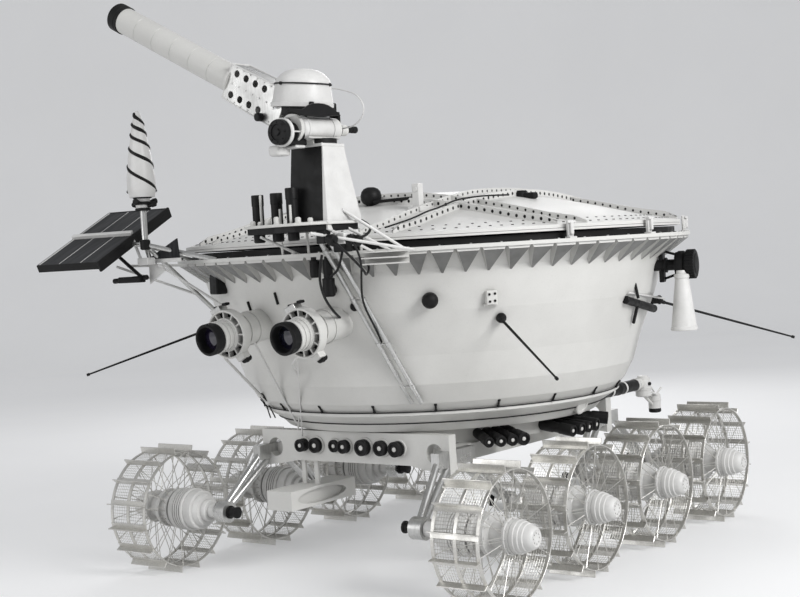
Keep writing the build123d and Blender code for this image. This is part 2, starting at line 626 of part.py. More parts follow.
for side_name, side in sides.items():
    nodes[f"tv_camera_{side_name}"] = Pos(0, side * CAMERA_Y, CAMERA_Z) * tv_camera() - tub
    azimuth = side * PANORAMA_AZIMUTH
    drum = rod((930, 0, PANORAMA_Z), (PANORAMA_R, 0, PANORAMA_Z), 22)
    drum += rod((PANORAMA_R - 16, 0, PANORAMA_Z), (PANORAMA_R + 70, 0, PANORAMA_Z), 54)
    cone_height = PANORAMA_Z - CONE_BOTTOM - 20
    cone_outline = [(0, 0), (CONE_FOOT_R, 0), (CONE_TOP_R, cone_height), (0, cone_height)]
    cone = Pos(*around(CONE_R, side * CONE_AZIMUTH, CONE_BOTTOM)) * turned(cone_outline)
    camera = Rot(0, 0, azimuth) * drum + cone
    nodes[f"panorama_camera_{side_name}"] = camera - tub - nodes["rim_flange"]

# Whips
whips = Part()
for side in sides.values():
    for foot, tip in WHIPS:
        foot = Vector(foot[0], side * foot[1], foot[2])
        tip = Vector(tip[0], side * tip[1], tip[2])
        outward = Vector(foot.X, foot.Y, 0).normalized()
        whips += rod(tuple(foot - outward * 40), tuple(foot + outward * 28), WHIP_BOSS_R)
        whips += rod(tuple(foot), tuple(tip), WHIP_R)
nodes["whip_aerials"] = whips - tub

# Front right bracket, reflector panel, fin and spiral aerial
panel = Pos(*REFLECTOR_MIDDLE) * Rot(0, 0, REFLECTOR_TURN) * Rot(0, REFLECTOR_SLOPE, 0) * Box(*REFLECTOR)
fin_face = Plane.YZ * make_face(Polyline(*FIN_OUTLINE, close=True))
fin = Pos(FIN_X, 0, 0) * extrude(fin_face, FIN_THICK / 2, both=True)
mast_node = (MAST_X, MAST_Y, MAST_NODE_Z)
bars = Part()
for end in BRACKET_ENDS:
    bars += rod(mast_node, end, BAR_R)
bars += rod((MAST_X, MAST_Y, MAST_NODE_Z - 10), (MAST_X, MAST_Y, MAST_TOP), 12)
bars += block((FIN_X - 5, -590, FIN_BASE - 10), (FIN_X + 5, -385, FIN_BASE))
nodes["front_bracket"] = bars - tub - panel - nodes["rim_flange"]
nodes["reflector_panel"] = panel + (fin - bars)
spiral_outline = [(0, MAST_TOP), (SPIRAL_HUB_R, MAST_TOP), (SPIRAL_HUB_R, SPIRAL_CONE[0][1])] + SPIRAL_CONE
spiral_outline.append((0, SPIRAL_CONE[-1][1]))
nodes["spiral_aerial"] = Pos(MAST_X, MAST_Y, 0) * turned(spiral_outline)

# Spectrometer
spectrometer = block(SPECTRO_LOW, SPECTRO_HIGH)
mouth_z = (SPECTRO_LOW[2] + SPECTRO_HIGH[2]) / 2
mouth_middle = (SPECTRO_HIGH[0] - 190, SPECTRO_HIGH[1] - 20, mouth_z)
mouth_plane = Plane(origin=mouth_middle, x_dir=(1, 0, 0), z_dir=(0, 1, 0))
spectrometer -= extrude(mouth_plane * Ellipse(*SPECTRO_MOUTH), 30)
for y in (SPECTRO_LOW[1] + 30, SPECTRO_HIGH[1] - 30):
    strap_top = (BEAM_X + 5, y + STRAP_WIDTH / 2, BEAM_ARCH + 5)
    spectrometer += block((BEAM_X - 5, y - STRAP_WIDTH / 2, SPECTRO_HIGH[2] - 1), strap_top)
nodes["soil_spectrometer"] = spectrometer - nodes["front_beam"]

# Heater
duct_z = 585.0
heater = rod((HEATER_ROOT_X, HEATER_Y, duct_z), (HEATER_X, HEATER_Y, duct_z), 24)
heater += rod((HEATER_X, HEATER_Y, 528), (HEATER_X, HEATER_Y, 606), HEATER_R)
heater += rod((HEATER_X, HEATER_Y, 606), (HEATER_X, HEATER_Y, 618), HEATER_R - 10)
heater += rod((FLASK_X, HEATER_Y, 446), (FLASK_X, HEATER_Y, 524), FLASK_R)
for z, end_z in ((548, 512), (536, 470)):
    heater += rod((HEATER_X + 10, HEATER_Y, z), (FLASK_X + 10, HEATER_Y, end_z), 7)
heater += rod((FLASK_X, HEATER_Y, 510), (FLASK_X - 70, HEATER_Y, 545), 5)
nodes["heater"] = heater - tub - nodes["rear_beam"]

# Wall fittings on the left side: a black ball and a small box
ball_z = 1076.0
fittings = Pos(*around(wall_radius(ball_z) + 6, 34.5, ball_z)) * Sphere(30)
box_r = wall_radius(1070)
fittings += Rot(0, 0, 48) * block((box_r - 40, -22, 1045), (box_r + 34, 22, 1095))
nodes["wall_fittings"] = fittings - tub

# Ninth wheel
bracket_back = -(BEAM_X + BEAM_DEPTH / 2)
odo_bracket = block((bracket_back - 38, -34, 440), (bracket_back, 34, 500))
for side in sides.values():
    odo_bracket += block((ODO_PIVOT[0] - 20, 22 * side, 450), (bracket_back - 28, 34 * side, 490))
odo_bracket += rod((ODO_PIVOT[0], -34, ODO_PIVOT[2]), (ODO_PIVOT[0], 34, ODO_PIVOT[2]), ODO_PIN_R)
nodes["odometer_bracket"] = odo_bracket
odo_arm = rod((ODO_PIVOT[0], -16, ODO_PIVOT[2]), (ODO_PIVOT[0], 16, ODO_PIVOT[2]), 17)
odo_arm += rod(ODO_PIVOT, ODO_CROSS, 11)
odo_arm += rod((ODO_CROSS[0], -34, ODO_CROSS[2]), (ODO_CROSS[0], 34, ODO_CROSS[2]), 12)
for side in sides.values():
    odo_arm += rod((ODO_CROSS[0], ODO_FORK * side, ODO_CROSS[2]), (ODO_X, ODO_FORK * side, ODO_R), 8)
    odo_arm += rod((ODO_X, (ODO_FORK - 6) * side, ODO_R), (ODO_X, (ODO_FORK + 6) * side, ODO_R), 14)
bore_r = ODO_PIN_R + SHAFT_CLEARANCE
odo_arm -= rod((ODO_PIVOT[0], -17, ODO_PIVOT[2]), (ODO_PIVOT[0], 17, ODO_PIVOT[2]), bore_r)
odo_arm += rod((ODO_X, -ODO_FORK - 6, ODO_R), (ODO_X, ODO_FORK + 6, ODO_R), ODO_AXLE_R)
nodes["odometer_arm"] = odo_arm
odo_wheel = Cylinder(ODO_R, 12) - Cylinder(ODO_R - 8, 12) + Cylinder(16, 36)
for number in range(ODO_SPOKES):
    spoke = Pos(12, -3, -3) * Box(ODO_R - 16, 6, 6, align=(Align.MIN, Align.MIN, Align.MIN))
    odo_wheel += Rot(0, 0, number * 360 / ODO_SPOKES) * spoke
odo_wheel -= Cylinder(ODO_AXLE_R + SHAFT_CLEARANCE, 40)
nodes["odometer_wheel"] = Pos(ODO_X, 0, ODO_R) * Rot(90, 0, 0) * odo_wheel

for name, shape in nodes.items():
    export_step(shape, f"parts/{name}.step")
    print(name, len(shape.solids()), [round(solid.volume) for solid in shape.solids()],
          [round(v) for v in (*shape.bounding_box().min, *shape.bounding_box().max)])
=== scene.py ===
"""Dresses the planetary rover: wire wheels, pierced lid, cameras, aerials, cables and each surface's finish.

Metres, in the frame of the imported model. +X is the rover's front, +Y its left side, +Z up.
"""
from math import cos, hypot, pi, radians, sin, sqrt, tau

import bpy
from mathutils import Matrix, Vector


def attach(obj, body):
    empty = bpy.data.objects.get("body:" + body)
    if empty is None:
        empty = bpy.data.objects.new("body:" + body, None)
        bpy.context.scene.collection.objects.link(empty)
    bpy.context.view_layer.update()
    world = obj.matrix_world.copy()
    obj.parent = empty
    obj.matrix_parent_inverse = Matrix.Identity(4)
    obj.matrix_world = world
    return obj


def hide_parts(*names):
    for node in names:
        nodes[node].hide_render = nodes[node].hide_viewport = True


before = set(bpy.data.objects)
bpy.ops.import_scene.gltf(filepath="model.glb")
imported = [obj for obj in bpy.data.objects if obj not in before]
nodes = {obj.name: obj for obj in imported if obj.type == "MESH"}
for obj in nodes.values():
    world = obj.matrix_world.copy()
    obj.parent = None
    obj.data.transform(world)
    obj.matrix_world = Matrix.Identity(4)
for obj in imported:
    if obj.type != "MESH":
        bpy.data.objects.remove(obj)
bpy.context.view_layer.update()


# Camera, at the photograph's place and angle
CAMERA_PLACE = (5.060, 3.641, 1.270)
CAMERA_YAW = 217.13
CAMERA_PITCH = -1.97
CAMERA_ROLL = -3.36
CAMERA_LENS = 65.9


def add_camera():
    """The camera that takes the photograph's view."""
    bpy.ops.object.camera_add(location=CAMERA_PLACE)
    camera = bpy.context.object
    camera.name = "photo_camera"
    camera.data.lens = CAMERA_LENS
    camera.data.sensor_width = 36.0
    camera.data.clip_end = 60.0
    turn = Matrix.Rotation(radians(CAMERA_YAW - 90), 4, "Z")
    turn = turn @ Matrix.Rotation(radians(90 + CAMERA_PITCH), 4, "X")
    turn = turn @ Matrix.Rotation(radians(CAMERA_ROLL), 4, "Z")
    camera.matrix_world = Matrix.Translation(CAMERA_PLACE) @ turn
    bpy.context.scene.camera = camera


# Building blocks
def deselect():
    """Nothing is selected after this."""
    bpy.ops.object.select_all(action="DESELECT")


def only(piece):
    """Selects one piece alone and makes it the active one."""
    deselect()
    piece.select_set(True)
    bpy.context.view_layer.objects.active = piece


def settle(piece):
    """Writes a piece's place, turn and size into its mesh."""
    only(piece)
    bpy.ops.object.transform_apply(location=True, rotation=True, scale=True)
    return piece


def joined(parts, name):
    """Several parts made one piece."""
    deselect()
    for part in parts:
        part.select_set(True)
    bpy.context.view_layer.objects.active = parts[0]
    bpy.ops.object.join()
    piece = bpy.context.object
    piece.name = name
    piece.data.name = name
    return settle(piece)


def applied(piece, kind, **settings):
    """Adds a modifier of one kind with its settings, and applies it."""
    only(piece)
    modifier = piece.modifiers.new(kind.lower(), kind)
    for setting, value in settings.items():
        setattr(modifier, setting, value)
    bpy.ops.object.modifier_apply(modifier=modifier.name)
    return piece


def leave_faced_outward():
    """Ends the edit mode with all faces of the active piece turned outward."""
    bpy.ops.mesh.select_all(action="SELECT")
    bpy.ops.mesh.normals_make_consistent(inside=False)
    bpy.ops.object.mode_set(mode="OBJECT")


def copied(piece, matrix):
    """A copy with its own mesh, moved by the matrix."""
    copy = piece.copy()
    copy.data = piece.data.copy()
    bpy.context.scene.collection.objects.link(copy)
    copy.data.transform(matrix)
    if matrix.determinant() < 0:
        copy.data.flip_normals()
    return copy


def softened(piece, angle=35):
    """Shades a piece smooth, with edges sharper than the angle kept."""
    only(piece)
    bpy.ops.object.shade_smooth_by_angle(angle=radians(angle))
    return piece


def dressed(piece, material, body):
    """Gives a finished piece its material and its body."""
    piece.data.materials.clear()
    piece.data.materials.append(material)
    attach(piece, body)
    return piece


def towards(start, end):
    """The matrix that puts a piece made along +Z from the origin onto the line from start to end."""
    start = Vector(start)
    turn = (Vector(end) - start).to_track_quat("Z", "Y").to_matrix().to_4x4()
    return Matrix.Translation(start) @ turn


def lathe(steps, sides=40):
    """A closed turned form about +Z: a disc extruded and resized through (height, radius) steps."""
    height, radius = steps[0]
    bpy.ops.mesh.primitive_circle_add(vertices=sides, radius=radius, fill_type="NGON",
                                      location=(0, 0, height))
    piece = bpy.context.object
    only(piece)
    bpy.ops.object.mode_set(mode="EDIT")
    bpy.ops.mesh.select_all(action="SELECT")
    bpy.ops.mesh.flip_normals()
    for next_height, next_radius in steps[1:]:
        bpy.ops.mesh.extrude_region_move(TRANSFORM_OT_translate={"value": (0, 0, next_height - height)})
        ratio = next_radius / radius
        bpy.ops.transform.resize(value=(ratio, ratio, 1))
        height, radius = next_height, next_radius
    leave_faced_outward()
    return softened(settle(piece))


def bar(start, end, radius, sides=8, end_radius=None):
    """A round bar between two points, with its ends chamfered."""
    length = (Vector(end) - Vector(start)).length
    last = radius if end_radius is None else end_radius
    chamfer = min(radius, length) * 0.2
    piece = lathe([(0, radius - chamfer), (chamfer, radius), (length - chamfer, last),
                   (length, last - chamfer)], sides)
    piece.data.transform(towards(start, end))
    return piece


def slab(low, high, edge=0.002, segments=1):
    """A block between two corners with bevelled edges."""
    size = [b - a for a, b in zip(low, high)]
    middle = [(a + b) / 2 for a, b in zip(low, high)]
    bpy.ops.mesh.primitive_cube_add(size=1, location=middle)
    piece = bpy.context.object
    piece.scale = size
    settle(piece)
    return applied(piece, "BEVEL", width=edge, segments=segments)


def plate(corners, thick, edge, angle):
    """A flat plate through its corners, thick to both sides, with edges sharper than the angle bevelled."""
    bpy.ops.mesh.primitive_circle_add(vertices=len(corners), radius=1, fill_type="NGON", location=(0, 0, 0))
    piece = bpy.context.object
    for vertex, corner in zip(piece.data.vertices, corners):
        vertex.co = corner
    applied(piece, "SOLIDIFY", thickness=thick, offset=0)
    only(piece)
    bpy.ops.object.mode_set(mode="EDIT")
    leave_faced_outward()
    return applied(piece, "BEVEL", width=edge, segments=1, limit_method="ANGLE", angle_limit=radians(angle))


def tapered_block(bottom, top, edge=0.0015):
    """A block between two levels, each given as (rear, front, right, left, height)."""
    bpy.ops.mesh.primitive_cube_add(size=1, location=(0, 0, 0))
    piece = bpy.context.object
    for vertex in piece.data.vertices:
        rear, front, right, left, height = top if vertex.co.z > 0 else bottom
        vertex.co = (front if vertex.co.x > 0 else rear, left if vertex.co.y > 0 else right, height)
    return applied(piece, "BEVEL", width=edge, segments=1)


def wire(points, radius, sides=6, resolution=4, straight=False):
    """A wire or cable along a smooth line through points, as a mesh with closed ends."""
    bpy.ops.curve.primitive_nurbs_path_add()
    line = bpy.context.object
    curve = line.data
    curve.splines.clear()
    spline = curve.splines.new("POLY" if straight else "NURBS")
    spline.points.add(len(points) - 1)
    for place, point in zip(spline.points, points):
        place.co = (*point, 1)
    if not straight:
        spline.use_endpoint_u = True
        spline.order_u = 3
    curve.dimensions = "3D"
    curve.resolution_u = resolution
    curve.bevel_depth = radius
    curve.bevel_resolution = max(0, sides // 2 - 2)
    curve.use_fill_caps = True
    line.location = (0, 0, 0)
    only(line)
    bpy.ops.object.convert(target="MESH")
    piece = bpy.context.object
    applied(piece, "WELD", merge_threshold=0.00001)
    return softened(piece, 50)


# Materials
def new_material(name):
    """A material with its node tree, its shader and its Object coordinates."""
    material = bpy.data.materials.new(name)
    material.use_nodes = True
    tree = material.node_tree
    shader = tree.nodes["Principled BSDF"]
    place = tree.nodes.new("ShaderNodeTexCoord")
    return material, tree, shader, place.outputs["Object"]


def noise(tree, place, scale, detail=3.0, roughness=0.55):
    """A noise factor over the piece."""
    node = tree.nodes.new("ShaderNodeTexNoise")
    node.inputs["Scale"].default_value = scale
    node.inputs["Detail"].default_value = detail
    node.inputs["Roughness"].default_value = roughness
    tree.links.new(place, node.inputs["Vector"])
    return node.outputs["Fac"]


def graded(tree, factor, low, high, start=0.35, end=0.65):
    """Colours or greys spread along a factor."""
    ramp = tree.nodes.new("ShaderNodeValToRGB")
    ramp.color_ramp.elements[0].position = start
    ramp.color_ramp.elements[1].position = end
    ramp.color_ramp.elements[0].color = (*low, 1) if isinstance(low, tuple) else (low, low, low, 1)
    ramp.color_ramp.elements[1].color = (*high, 1) if isinstance(high, tuple) else (high, high, high, 1)
    tree.links.new(factor, ramp.inputs["Fac"])
    return ramp.outputs["Color"]


def mixed(tree, factor, first, second, kind="MIX"):
    """Two colours mixed by a factor."""
    node = tree.nodes.new("ShaderNodeMix")
    node.data_type = "RGBA"
    node.blend_type = kind
    for socket, value in ((node.inputs["Factor"], factor),
                          (node.inputs[6], first), (node.inputs[7], second)):
        if isinstance(value, bpy.types.NodeSocket):
            tree.links.new(value, socket)
        elif isinstance(value, tuple):
            socket.default_value = (*value, 1)
        else:
            socket.default_value = value
    return node.outputs[2]


def bumped(tree, shader, height, strength, distance):
    """Gives the shader a bump from a height."""
    node = tree.nodes.new("ShaderNodeBump")
    node.inputs["Strength"].default_value = strength
    node.inputs["Distance"].default_value = distance
    tree.links.new(height, node.inputs["Height"])
    tree.links.new(node.outputs["Normal"], shader.inputs["Normal"])


def crevices(tree, reach):
    """How open a surface point is: dark where pieces meet, within a reach in metres."""
    node = tree.nodes.new("ShaderNodeAmbientOcclusion")
    node.inputs["Distance"].default_value = reach
    node.samples = 4
    return node.outputs["AO"]


def painted(name, colour, shade, rough=(0.34, 0.52), peel=0.12, patches=3.0, crevice_shade=0.30):
    """Brushed or sprayed paint: faint patches, fine specks, painted shade in the corners and a slight orange
    peel.
    """
    material, tree, shader, place = new_material(name)
    patch = noise(tree, place, patches, 5.0, 0.6)
    base = graded(tree, patch, shade, colour)
    speck = graded(tree, noise(tree, place, 160.0, 2.0), tuple(c * 0.90 for c in colour), colour, 0.30, 0.42)
    base = mixed(tree, 0.35, base, speck)
    # Painted shade: the colour darkens where the ambient occlusion finds corners and recesses.
    dust_and_shade_tone = tuple(c * (1 - crevice_shade) for c in colour)
    open_sky = graded(tree, crevices(tree, 0.05), 0.0, 1.0, 0.25, 0.85)
    base = mixed(tree, open_sky, dust_and_shade_tone, base)
    tree.links.new(base, shader.inputs["Base Color"])
    tree.links.new(graded(tree, patch, rough[0], rough[1]), shader.inputs["Roughness"])
    bumped(tree, shader, noise(tree, place, 260.0, 2.0), peel, 0.0006)
    return material


def shaded_below(name, colour, below):
    """Paint that keeps its colour on upright and upper faces and has painted shade on those that lean
    downwards.
    """
    material, tree, shader, place = new_material(name)
    facing = tree.nodes.new("ShaderNodeSeparateXYZ")
    surface = tree.nodes.new("ShaderNodeNewGeometry")
    tree.links.new(surface.outputs["Normal"], facing.inputs["Vector"])
    # Painted shade: faces that lean downwards take the darker colour.
    level = tree.nodes.new("ShaderNodeMapRange")
    level.inputs["From Min"].default_value = -0.62
    level.inputs["From Max"].default_value = -0.30
    tree.links.new(facing.outputs["Z"], level.inputs["Value"])
    patch = graded(tree, noise(tree, place, 9.0, 4.0), tuple(c * 0.85 for c in below),
                   tuple(c * 1.25 for c in below))
    base = mixed(tree, level.outputs["Result"], patch, colour)
    tree.links.new(base, shader.inputs["Base Color"])
    tree.links.new(graded(tree, noise(tree, place, 5.0), 0.40, 0.60), shader.inputs["Roughness"])
    bumped(tree, shader, noise(tree, place, 260.0, 2.0), 0.1, 0.0006)
    return material


def worked_metal(name, colour, shade, rough=(0.22, 0.42), grain=(40.0, 40.0, 4.0)):
    """Metal with a drawn grain and faint stains."""
    material, tree, shader, place = new_material(name)
    shader.inputs["Metallic"].default_value = 0.9
    mapping = tree.nodes.new("ShaderNodeMapping")
    mapping.inputs["Scale"].default_value = grain
    tree.links.new(place, mapping.inputs["Vector"])
    streak = noise(tree, mapping.outputs["Vector"], 6.0, 4.0)
    stain = noise(tree, place, 9.0, 4.0)
    base = mixed(tree, 0.5, graded(tree, streak, shade, colour), graded(tree, stain, shade, colour))
    tree.links.new(base, shader.inputs["Base Color"])
    tree.links.new(graded(tree, stain, rough[1], rough[0]), shader.inputs["Roughness"])
    bumped(tree, shader, streak, 0.08, 0.0004)
    return material


def moulded_black(name, level, rough=(0.30, 0.55)):
    """Black enamel or rubber, with a little dust on its open faces."""
    material, tree, shader, place = new_material(name)
    dust = noise(tree, place, 24.0, 5.0)
    dust_and_shade_tone = (level * 1.6, level * 1.58, level * 1.55)
    base = graded(tree, dust, (level, level, level * 1.05), dust_and_shade_tone, 0.4, 0.75)
    shader.inputs["Specular IOR Level"].default_value = 0.22
    tree.links.new(base, shader.inputs["Base Color"])
    tree.links.new(graded(tree, dust, rough[0], rough[1]), shader.inputs["Roughness"])
    bumped(tree, shader, noise(tree, place, 300.0, 2.0), 0.1, 0.0005)
    return material


def cell_grid(tree, place, size, gap, tiles, lines):
    """A grid of tiles in two colours with lines of a width between them."""
    grid = tree.nodes.new("ShaderNodeTexBrick")
    grid.offset = 0.0
    grid.inputs["Scale"].default_value = 1.0
    grid.inputs["Brick Width"].default_value = size[0]
    grid.inputs["Row Height"].default_value = size[1]
    grid.inputs["Mortar Size"].default_value = gap
    grid.inputs["Color1"].default_value = (*tiles[0], 1)
    grid.inputs["Color2"].default_value = (*tiles[1], 1)
    grid.inputs["Mortar"].default_value = (*lines, 1)
    tree.links.new(place, grid.inputs["Vector"])
    return grid.outputs["Color"]


def cell_panel(name):
    """Solar cells: dark blue squares with pale collector lines, on a grid in X and Y."""
    material, tree, shader, place = new_material(name)
    blues = ((0.012, 0.018, 0.055), (0.018, 0.026, 0.075))
    cells = cell_grid(tree, place, (0.042, 0.042), 0.0014, blues, (0.45, 0.45, 0.46))
    lines = cell_grid(tree, place, (0.0105, 0.5), 0.0004, ((0, 0, 0), (0, 0, 0)), (1, 1, 1))
    base = mixed(tree, lines, cells, (0.30, 0.31, 0.34))
    base = mixed(tree, 0.15, base, graded(tree, noise(tree, place, 12.0), 0.0, 0.25))
    tree.links.new(base, shader.inputs["Base Color"])
    tree.links.new(graded(tree, noise(tree, place, 5.0), 0.46, 0.54), shader.inputs["Roughness"])
    shader.inputs["Specular IOR Level"].default_value = 0.25
    return material


def dark_mirror(name):
    """The reflector's dark glassy face, with a few broad streaks."""
    material, tree, shader, place = new_material(name)
    mapping = tree.nodes.new("ShaderNodeMapping")
    mapping.inputs["Scale"].default_value = (2.0, 14.0, 2.0)
    tree.links.new(place, mapping.inputs["Vector"])
    streak = noise(tree, mapping.outputs["Vector"], 3.0, 4.0)
    tree.links.new(graded(tree, streak, (0.006, 0.007, 0.009), (0.03, 0.031, 0.034)),
                   shader.inputs["Base Color"])
    tree.links.new(graded(tree, streak, 0.36, 0.58), shader.inputs["Roughness"])
    shader.inputs["Specular IOR Level"].default_value = 0.25
    return material


def lens_glass(name):
    """Dark coated glass."""
    material, tree, shader, place = new_material(name)
    tint = graded(tree, noise(tree, place, 14.0), (0.004, 0.006, 0.012), (0.016, 0.012, 0.03))
    tree.links.new(tint, shader.inputs["Base Color"])
    tree.links.new(graded(tree, noise(tree, place, 60.0), 0.04, 0.10), shader.inputs["Roughness"])
    shader.inputs["Coat Weight"].default_value = 1.0
    return material


def stage_paint(name, colour, glow):
    """The pale floor and backdrop, a little brighter where the camera or a reflection sees them."""
    material, tree, shader, place = new_material(name)
    cloud = noise(tree, place, 0.6, 3.0)
    tree.links.new(graded(tree, cloud, colour * 0.97, colour), shader.inputs["Base Color"])
    shader.inputs["Roughness"].default_value = 0.9
    shader.inputs["Emission Color"].default_value = (0.97, 0.98, 1.0, 1)
    rays = tree.nodes.new("ShaderNodeLightPath")
    seen = rays.outputs["Is Camera Ray"]
    for output in ("Is Glossy Ray", "Is Transmission Ray"):
        either = tree.nodes.new("ShaderNodeMath")
        either.operation = "MAXIMUM"
        tree.links.new(seen, either.inputs[0])
        tree.links.new(rays.outputs[output], either.inputs[1])
        seen = either.outputs[0]
    strength = tree.nodes.new("ShaderNodeMath")
    strength.operation = "MULTIPLY"
    strength.inputs[1].default_value = glow
    tree.links.new(seen, strength.inputs[0])
    tree.links.new(strength.outputs[0], shader.inputs["Emission Strength"])
    return material


FINISH = {
    "white_enamel": painted("white_enamel", (0.74, 0.735, 0.71), (0.63, 0.625, 0.60)),
    "lid_white": painted("lid_white", (0.76, 0.755, 0.735), (0.66, 0.655, 0.635), (0.42, 0.6)),
    "radiator_white": painted("radiator_white", (0.72, 0.72, 0.71), (0.66, 0.66, 0.65), (0.3, 0.45)),
    "hub_white": painted("hub_white", (0.78, 0.775, 0.76), (0.66, 0.655, 0.64), (0.3, 0.5), 0.12, 14.0, 0.4),
    "black_enamel": moulded_black("black_enamel", 0.007, (0.42, 0.62)),
    "dark_fittings": moulded_black("dark_fittings", 0.012, (0.42, 0.62)),
    "pleat_painted_shade": shaded_below("pleat_painted_shade", (0.72, 0.715, 0.69), (0.20, 0.20, 0.195)),
    "bare_metal": worked_metal("bare_metal", (0.66, 0.66, 0.65), (0.46, 0.46, 0.45)),
    "wheel_metal": worked_metal("wheel_metal", (0.74, 0.73, 0.70), (0.54, 0.53, 0.50), (0.30, 0.5),
                                (30.0, 30.0, 30.0)),
    "wire_cloth": worked_metal("wire_cloth", (0.60, 0.59, 0.56), (0.42, 0.41, 0.39), (0.35, 0.55),
                               (30.0, 30.0, 30.0)),
    "solar_cells": cell_panel("solar_cells"),
    "reflector_dark": dark_mirror("reflector_dark"),
}
LENS = lens_glass("lens_glass")


def paint_nodes():
    """Each CAD node takes the finish of the slot that its record names, and the flange one of its own with
    painted shade under its pleats.
    """
    for piece in nodes.values():
        for holder in piece.material_slots:
            for slot, material in FINISH.items():
                if holder.material and holder.material.name.split(".")[0] == slot:
                    holder.material = material
    # The flange takes painted shade on its downward pleat faces.
    for holder in nodes["rim_flange"].material_slots:
        holder.material = FINISH["pleat_painted_shade"]


# Wheels. Each is made about the origin with its axle along Y and its outer side towards +Y
HOOP_R = 0.235
LUG_COUNT = 16
LUG_TIP_R = 0.260
AXLE_Z = LUG_TIP_R * cos(pi / LUG_COUNT) + 0.0025 * sin(pi / LUG_COUNT)
AXLE_X = [0.8525 - number * 1.705 / 3 for number in range(4)]
TRACK_HALF = 0.8
HOOP_WIDTH = 0.014
HOOP_PLACES = (-0.093, 0.0, 0.093)
MESH_R = 0.2328
MESH_RINGS = 19
MESH_CROSS = 120
MESH_WIRE = 0.0008
# Spokes: (offset and radius at the hub, offset at the hoop, turn between the ends in degrees)
SPOKES = [(-0.050, 0.077, -0.092, 9), (0.080, 0.063, 0.092, -9), (-0.044, 0.077, 0.004, -6),
          (0.076, 0.063, -0.004, 6)]
# Turning hub: (outward offset, radius)
HUB_STEPS = [(-0.060, 0.070), (-0.0585, 0.080), (-0.0415, 0.080), (-0.040, 0.0785), (-0.040, 0.066),
             (-0.037, 0.064), (-0.011, 0.064), (-0.008, 0.066), (-0.008, 0.0765), (-0.0065, 0.078),
             (0.0065, 0.078), (0.008, 0.0765), (0.008, 0.049), (0.011, 0.046), (0.071, 0.046),
             (0.074, 0.049), (0.074, 0.0645), (0.0755, 0.066), (0.0845, 0.066), (0.086, 0.0645),
             (0.086, 0.060), (0.098, 0.060), (0.0985, 0.0575), (0.1015, 0.0575), (0.102, 0.060),
             (0.116, 0.060), (0.118, 0.0565), (0.132, 0.0555), (0.134, 0.0515), (0.148, 0.050),
             (0.150, 0.046), (0.164, 0.043), (0.174, 0.038), (0.180, 0.030), (0.178, 0.027)]
# Fixed motor drum: (outward offset, radius), from its inner end to its outer face
DRUM_STEPS = [(-0.285, 0.024), (-0.283, 0.028), (-0.240, 0.028), (-0.240, 0.041), (-0.237, 0.044),
              (-0.215, 0.044), (-0.215, 0.060), (-0.190, 0.066), (-0.190, 0.075), (-0.187, 0.078),
              (-0.150, 0.078), (-0.150, 0.083), (-0.147, 0.086)]
DRUM_GROOVES = [-0.138, -0.126, -0.114, -0.102]
DRUM_END = [(-0.072, 0.084), (-0.068, 0.080), (-0.068, 0.022)]
# Rings of bolts on the hub: (count, radius of the ring, outward offset, radius of the head)
HUB_BOLTS = [(8, 0.019, 0.178, 0.0028), (12, 0.0715, 0.0075, 0.003), (12, 0.0625, 0.086, 0.0022)]
# Connector at the motor's inner end: (offset, radius)
MOTOR_PLUG = [(0.0, 0.026), (0.006, 0.026), (0.007, 0.020), (0.034, 0.020), (0.036, 0.023), (0.044, 0.023),
              (0.046, 0.018)]
KNUCKLE_IN = 0.459
OUTWARD = Matrix.Rotation(radians(-90), 4, "X")


def spun(piece, count, axis="Y"):
    """The piece and its copies, evenly turned about an axis."""
    parts = [piece]
    for number in range(1, count):
        parts.append(copied(piece, Matrix.Rotation(number * tau / count, 4, axis)))
    return parts


def flat_hoop(offset, radius, width, thick, sides=72):
    """A flat round hoop about the Y axis."""
    bpy.ops.mesh.primitive_circle_add(vertices=sides, radius=radius, location=(0, offset - width / 2, 0))
    hoop = bpy.context.object
    hoop.rotation_euler = (radians(90), 0, 0)
    settle(hoop)
    bpy.ops.object.mode_set(mode="EDIT")
    bpy.ops.mesh.select_all(action="SELECT")
    bpy.ops.mesh.extrude_region_move(TRANSFORM_OT_translate={"value": (0, width, 0)})
    leave_faced_outward()
    applied(hoop, "SOLIDIFY", thickness=thick, offset=-1)
    applied(hoop, "BEVEL", width=0.0008, segments=1, limit_method="ANGLE", angle_limit=radians(50))
    return hoop


def wheel_tyre():
    """Three hoops with the lugs across them, each an upright blade on a foot."""
    parts = [flat_hoop(place, HOOP_R, HOOP_WIDTH, 0.004) for place in HOOP_PLACES]
    blade = slab((-0.0022, -0.100, HOOP_R - 0.002), (0.0022, 0.100, LUG_TIP_R), 0.0012)
    foot = slab((-0.0022, -0.100, HOOP_R - 0.001), (0.020, 0.100, HOOP_R + 0.002), 0.001)
    lug = joined([blade, foot], "lug")
    half_step = Matrix.Rotation(pi / LUG_COUNT, 4, "Y")
    lug.data.transform(half_step)
    return joined(parts + spun(lug, LUG_COUNT), "tyre")


def wheel_mesh():
    """The wire cloth between the hoops: rings crossed by straight wires."""
    parts = []
    for number in range(MESH_RINGS):
        place = HOOP_PLACES[2] * (2 * number / (MESH_RINGS - 1) - 1)
        bpy.ops.mesh.primitive_torus_add(major_radius=MESH_R, minor_radius=MESH_WIRE, major_segments=96,
                                         minor_segments=4, location=(0, place, 0),
                                         rotation=(radians(90), 0, 0))
        parts.append(settle(bpy.context.object))
    bpy.ops.mesh.primitive_cylinder_add(vertices=4, radius=MESH_WIRE, depth=0.2, location=(0, 0, MESH_R),
                                        rotation=(radians(90), 0, 0))
    cross = settle(bpy.context.object)
    bpy.ops.object.mode_set(mode="EDIT")
    bpy.ops.mesh.select_all(action="SELECT")
    bpy.ops.mesh.spin(steps=MESH_CROSS - 1, dupli=True, angle=tau * (MESH_CROSS - 1) / MESH_CROSS,
                      center=(0, 0, 0), axis=(0, 1, 0))
    bpy.ops.object.mode_set(mode="OBJECT")
    return joined(parts + [cross], "wire_mesh")


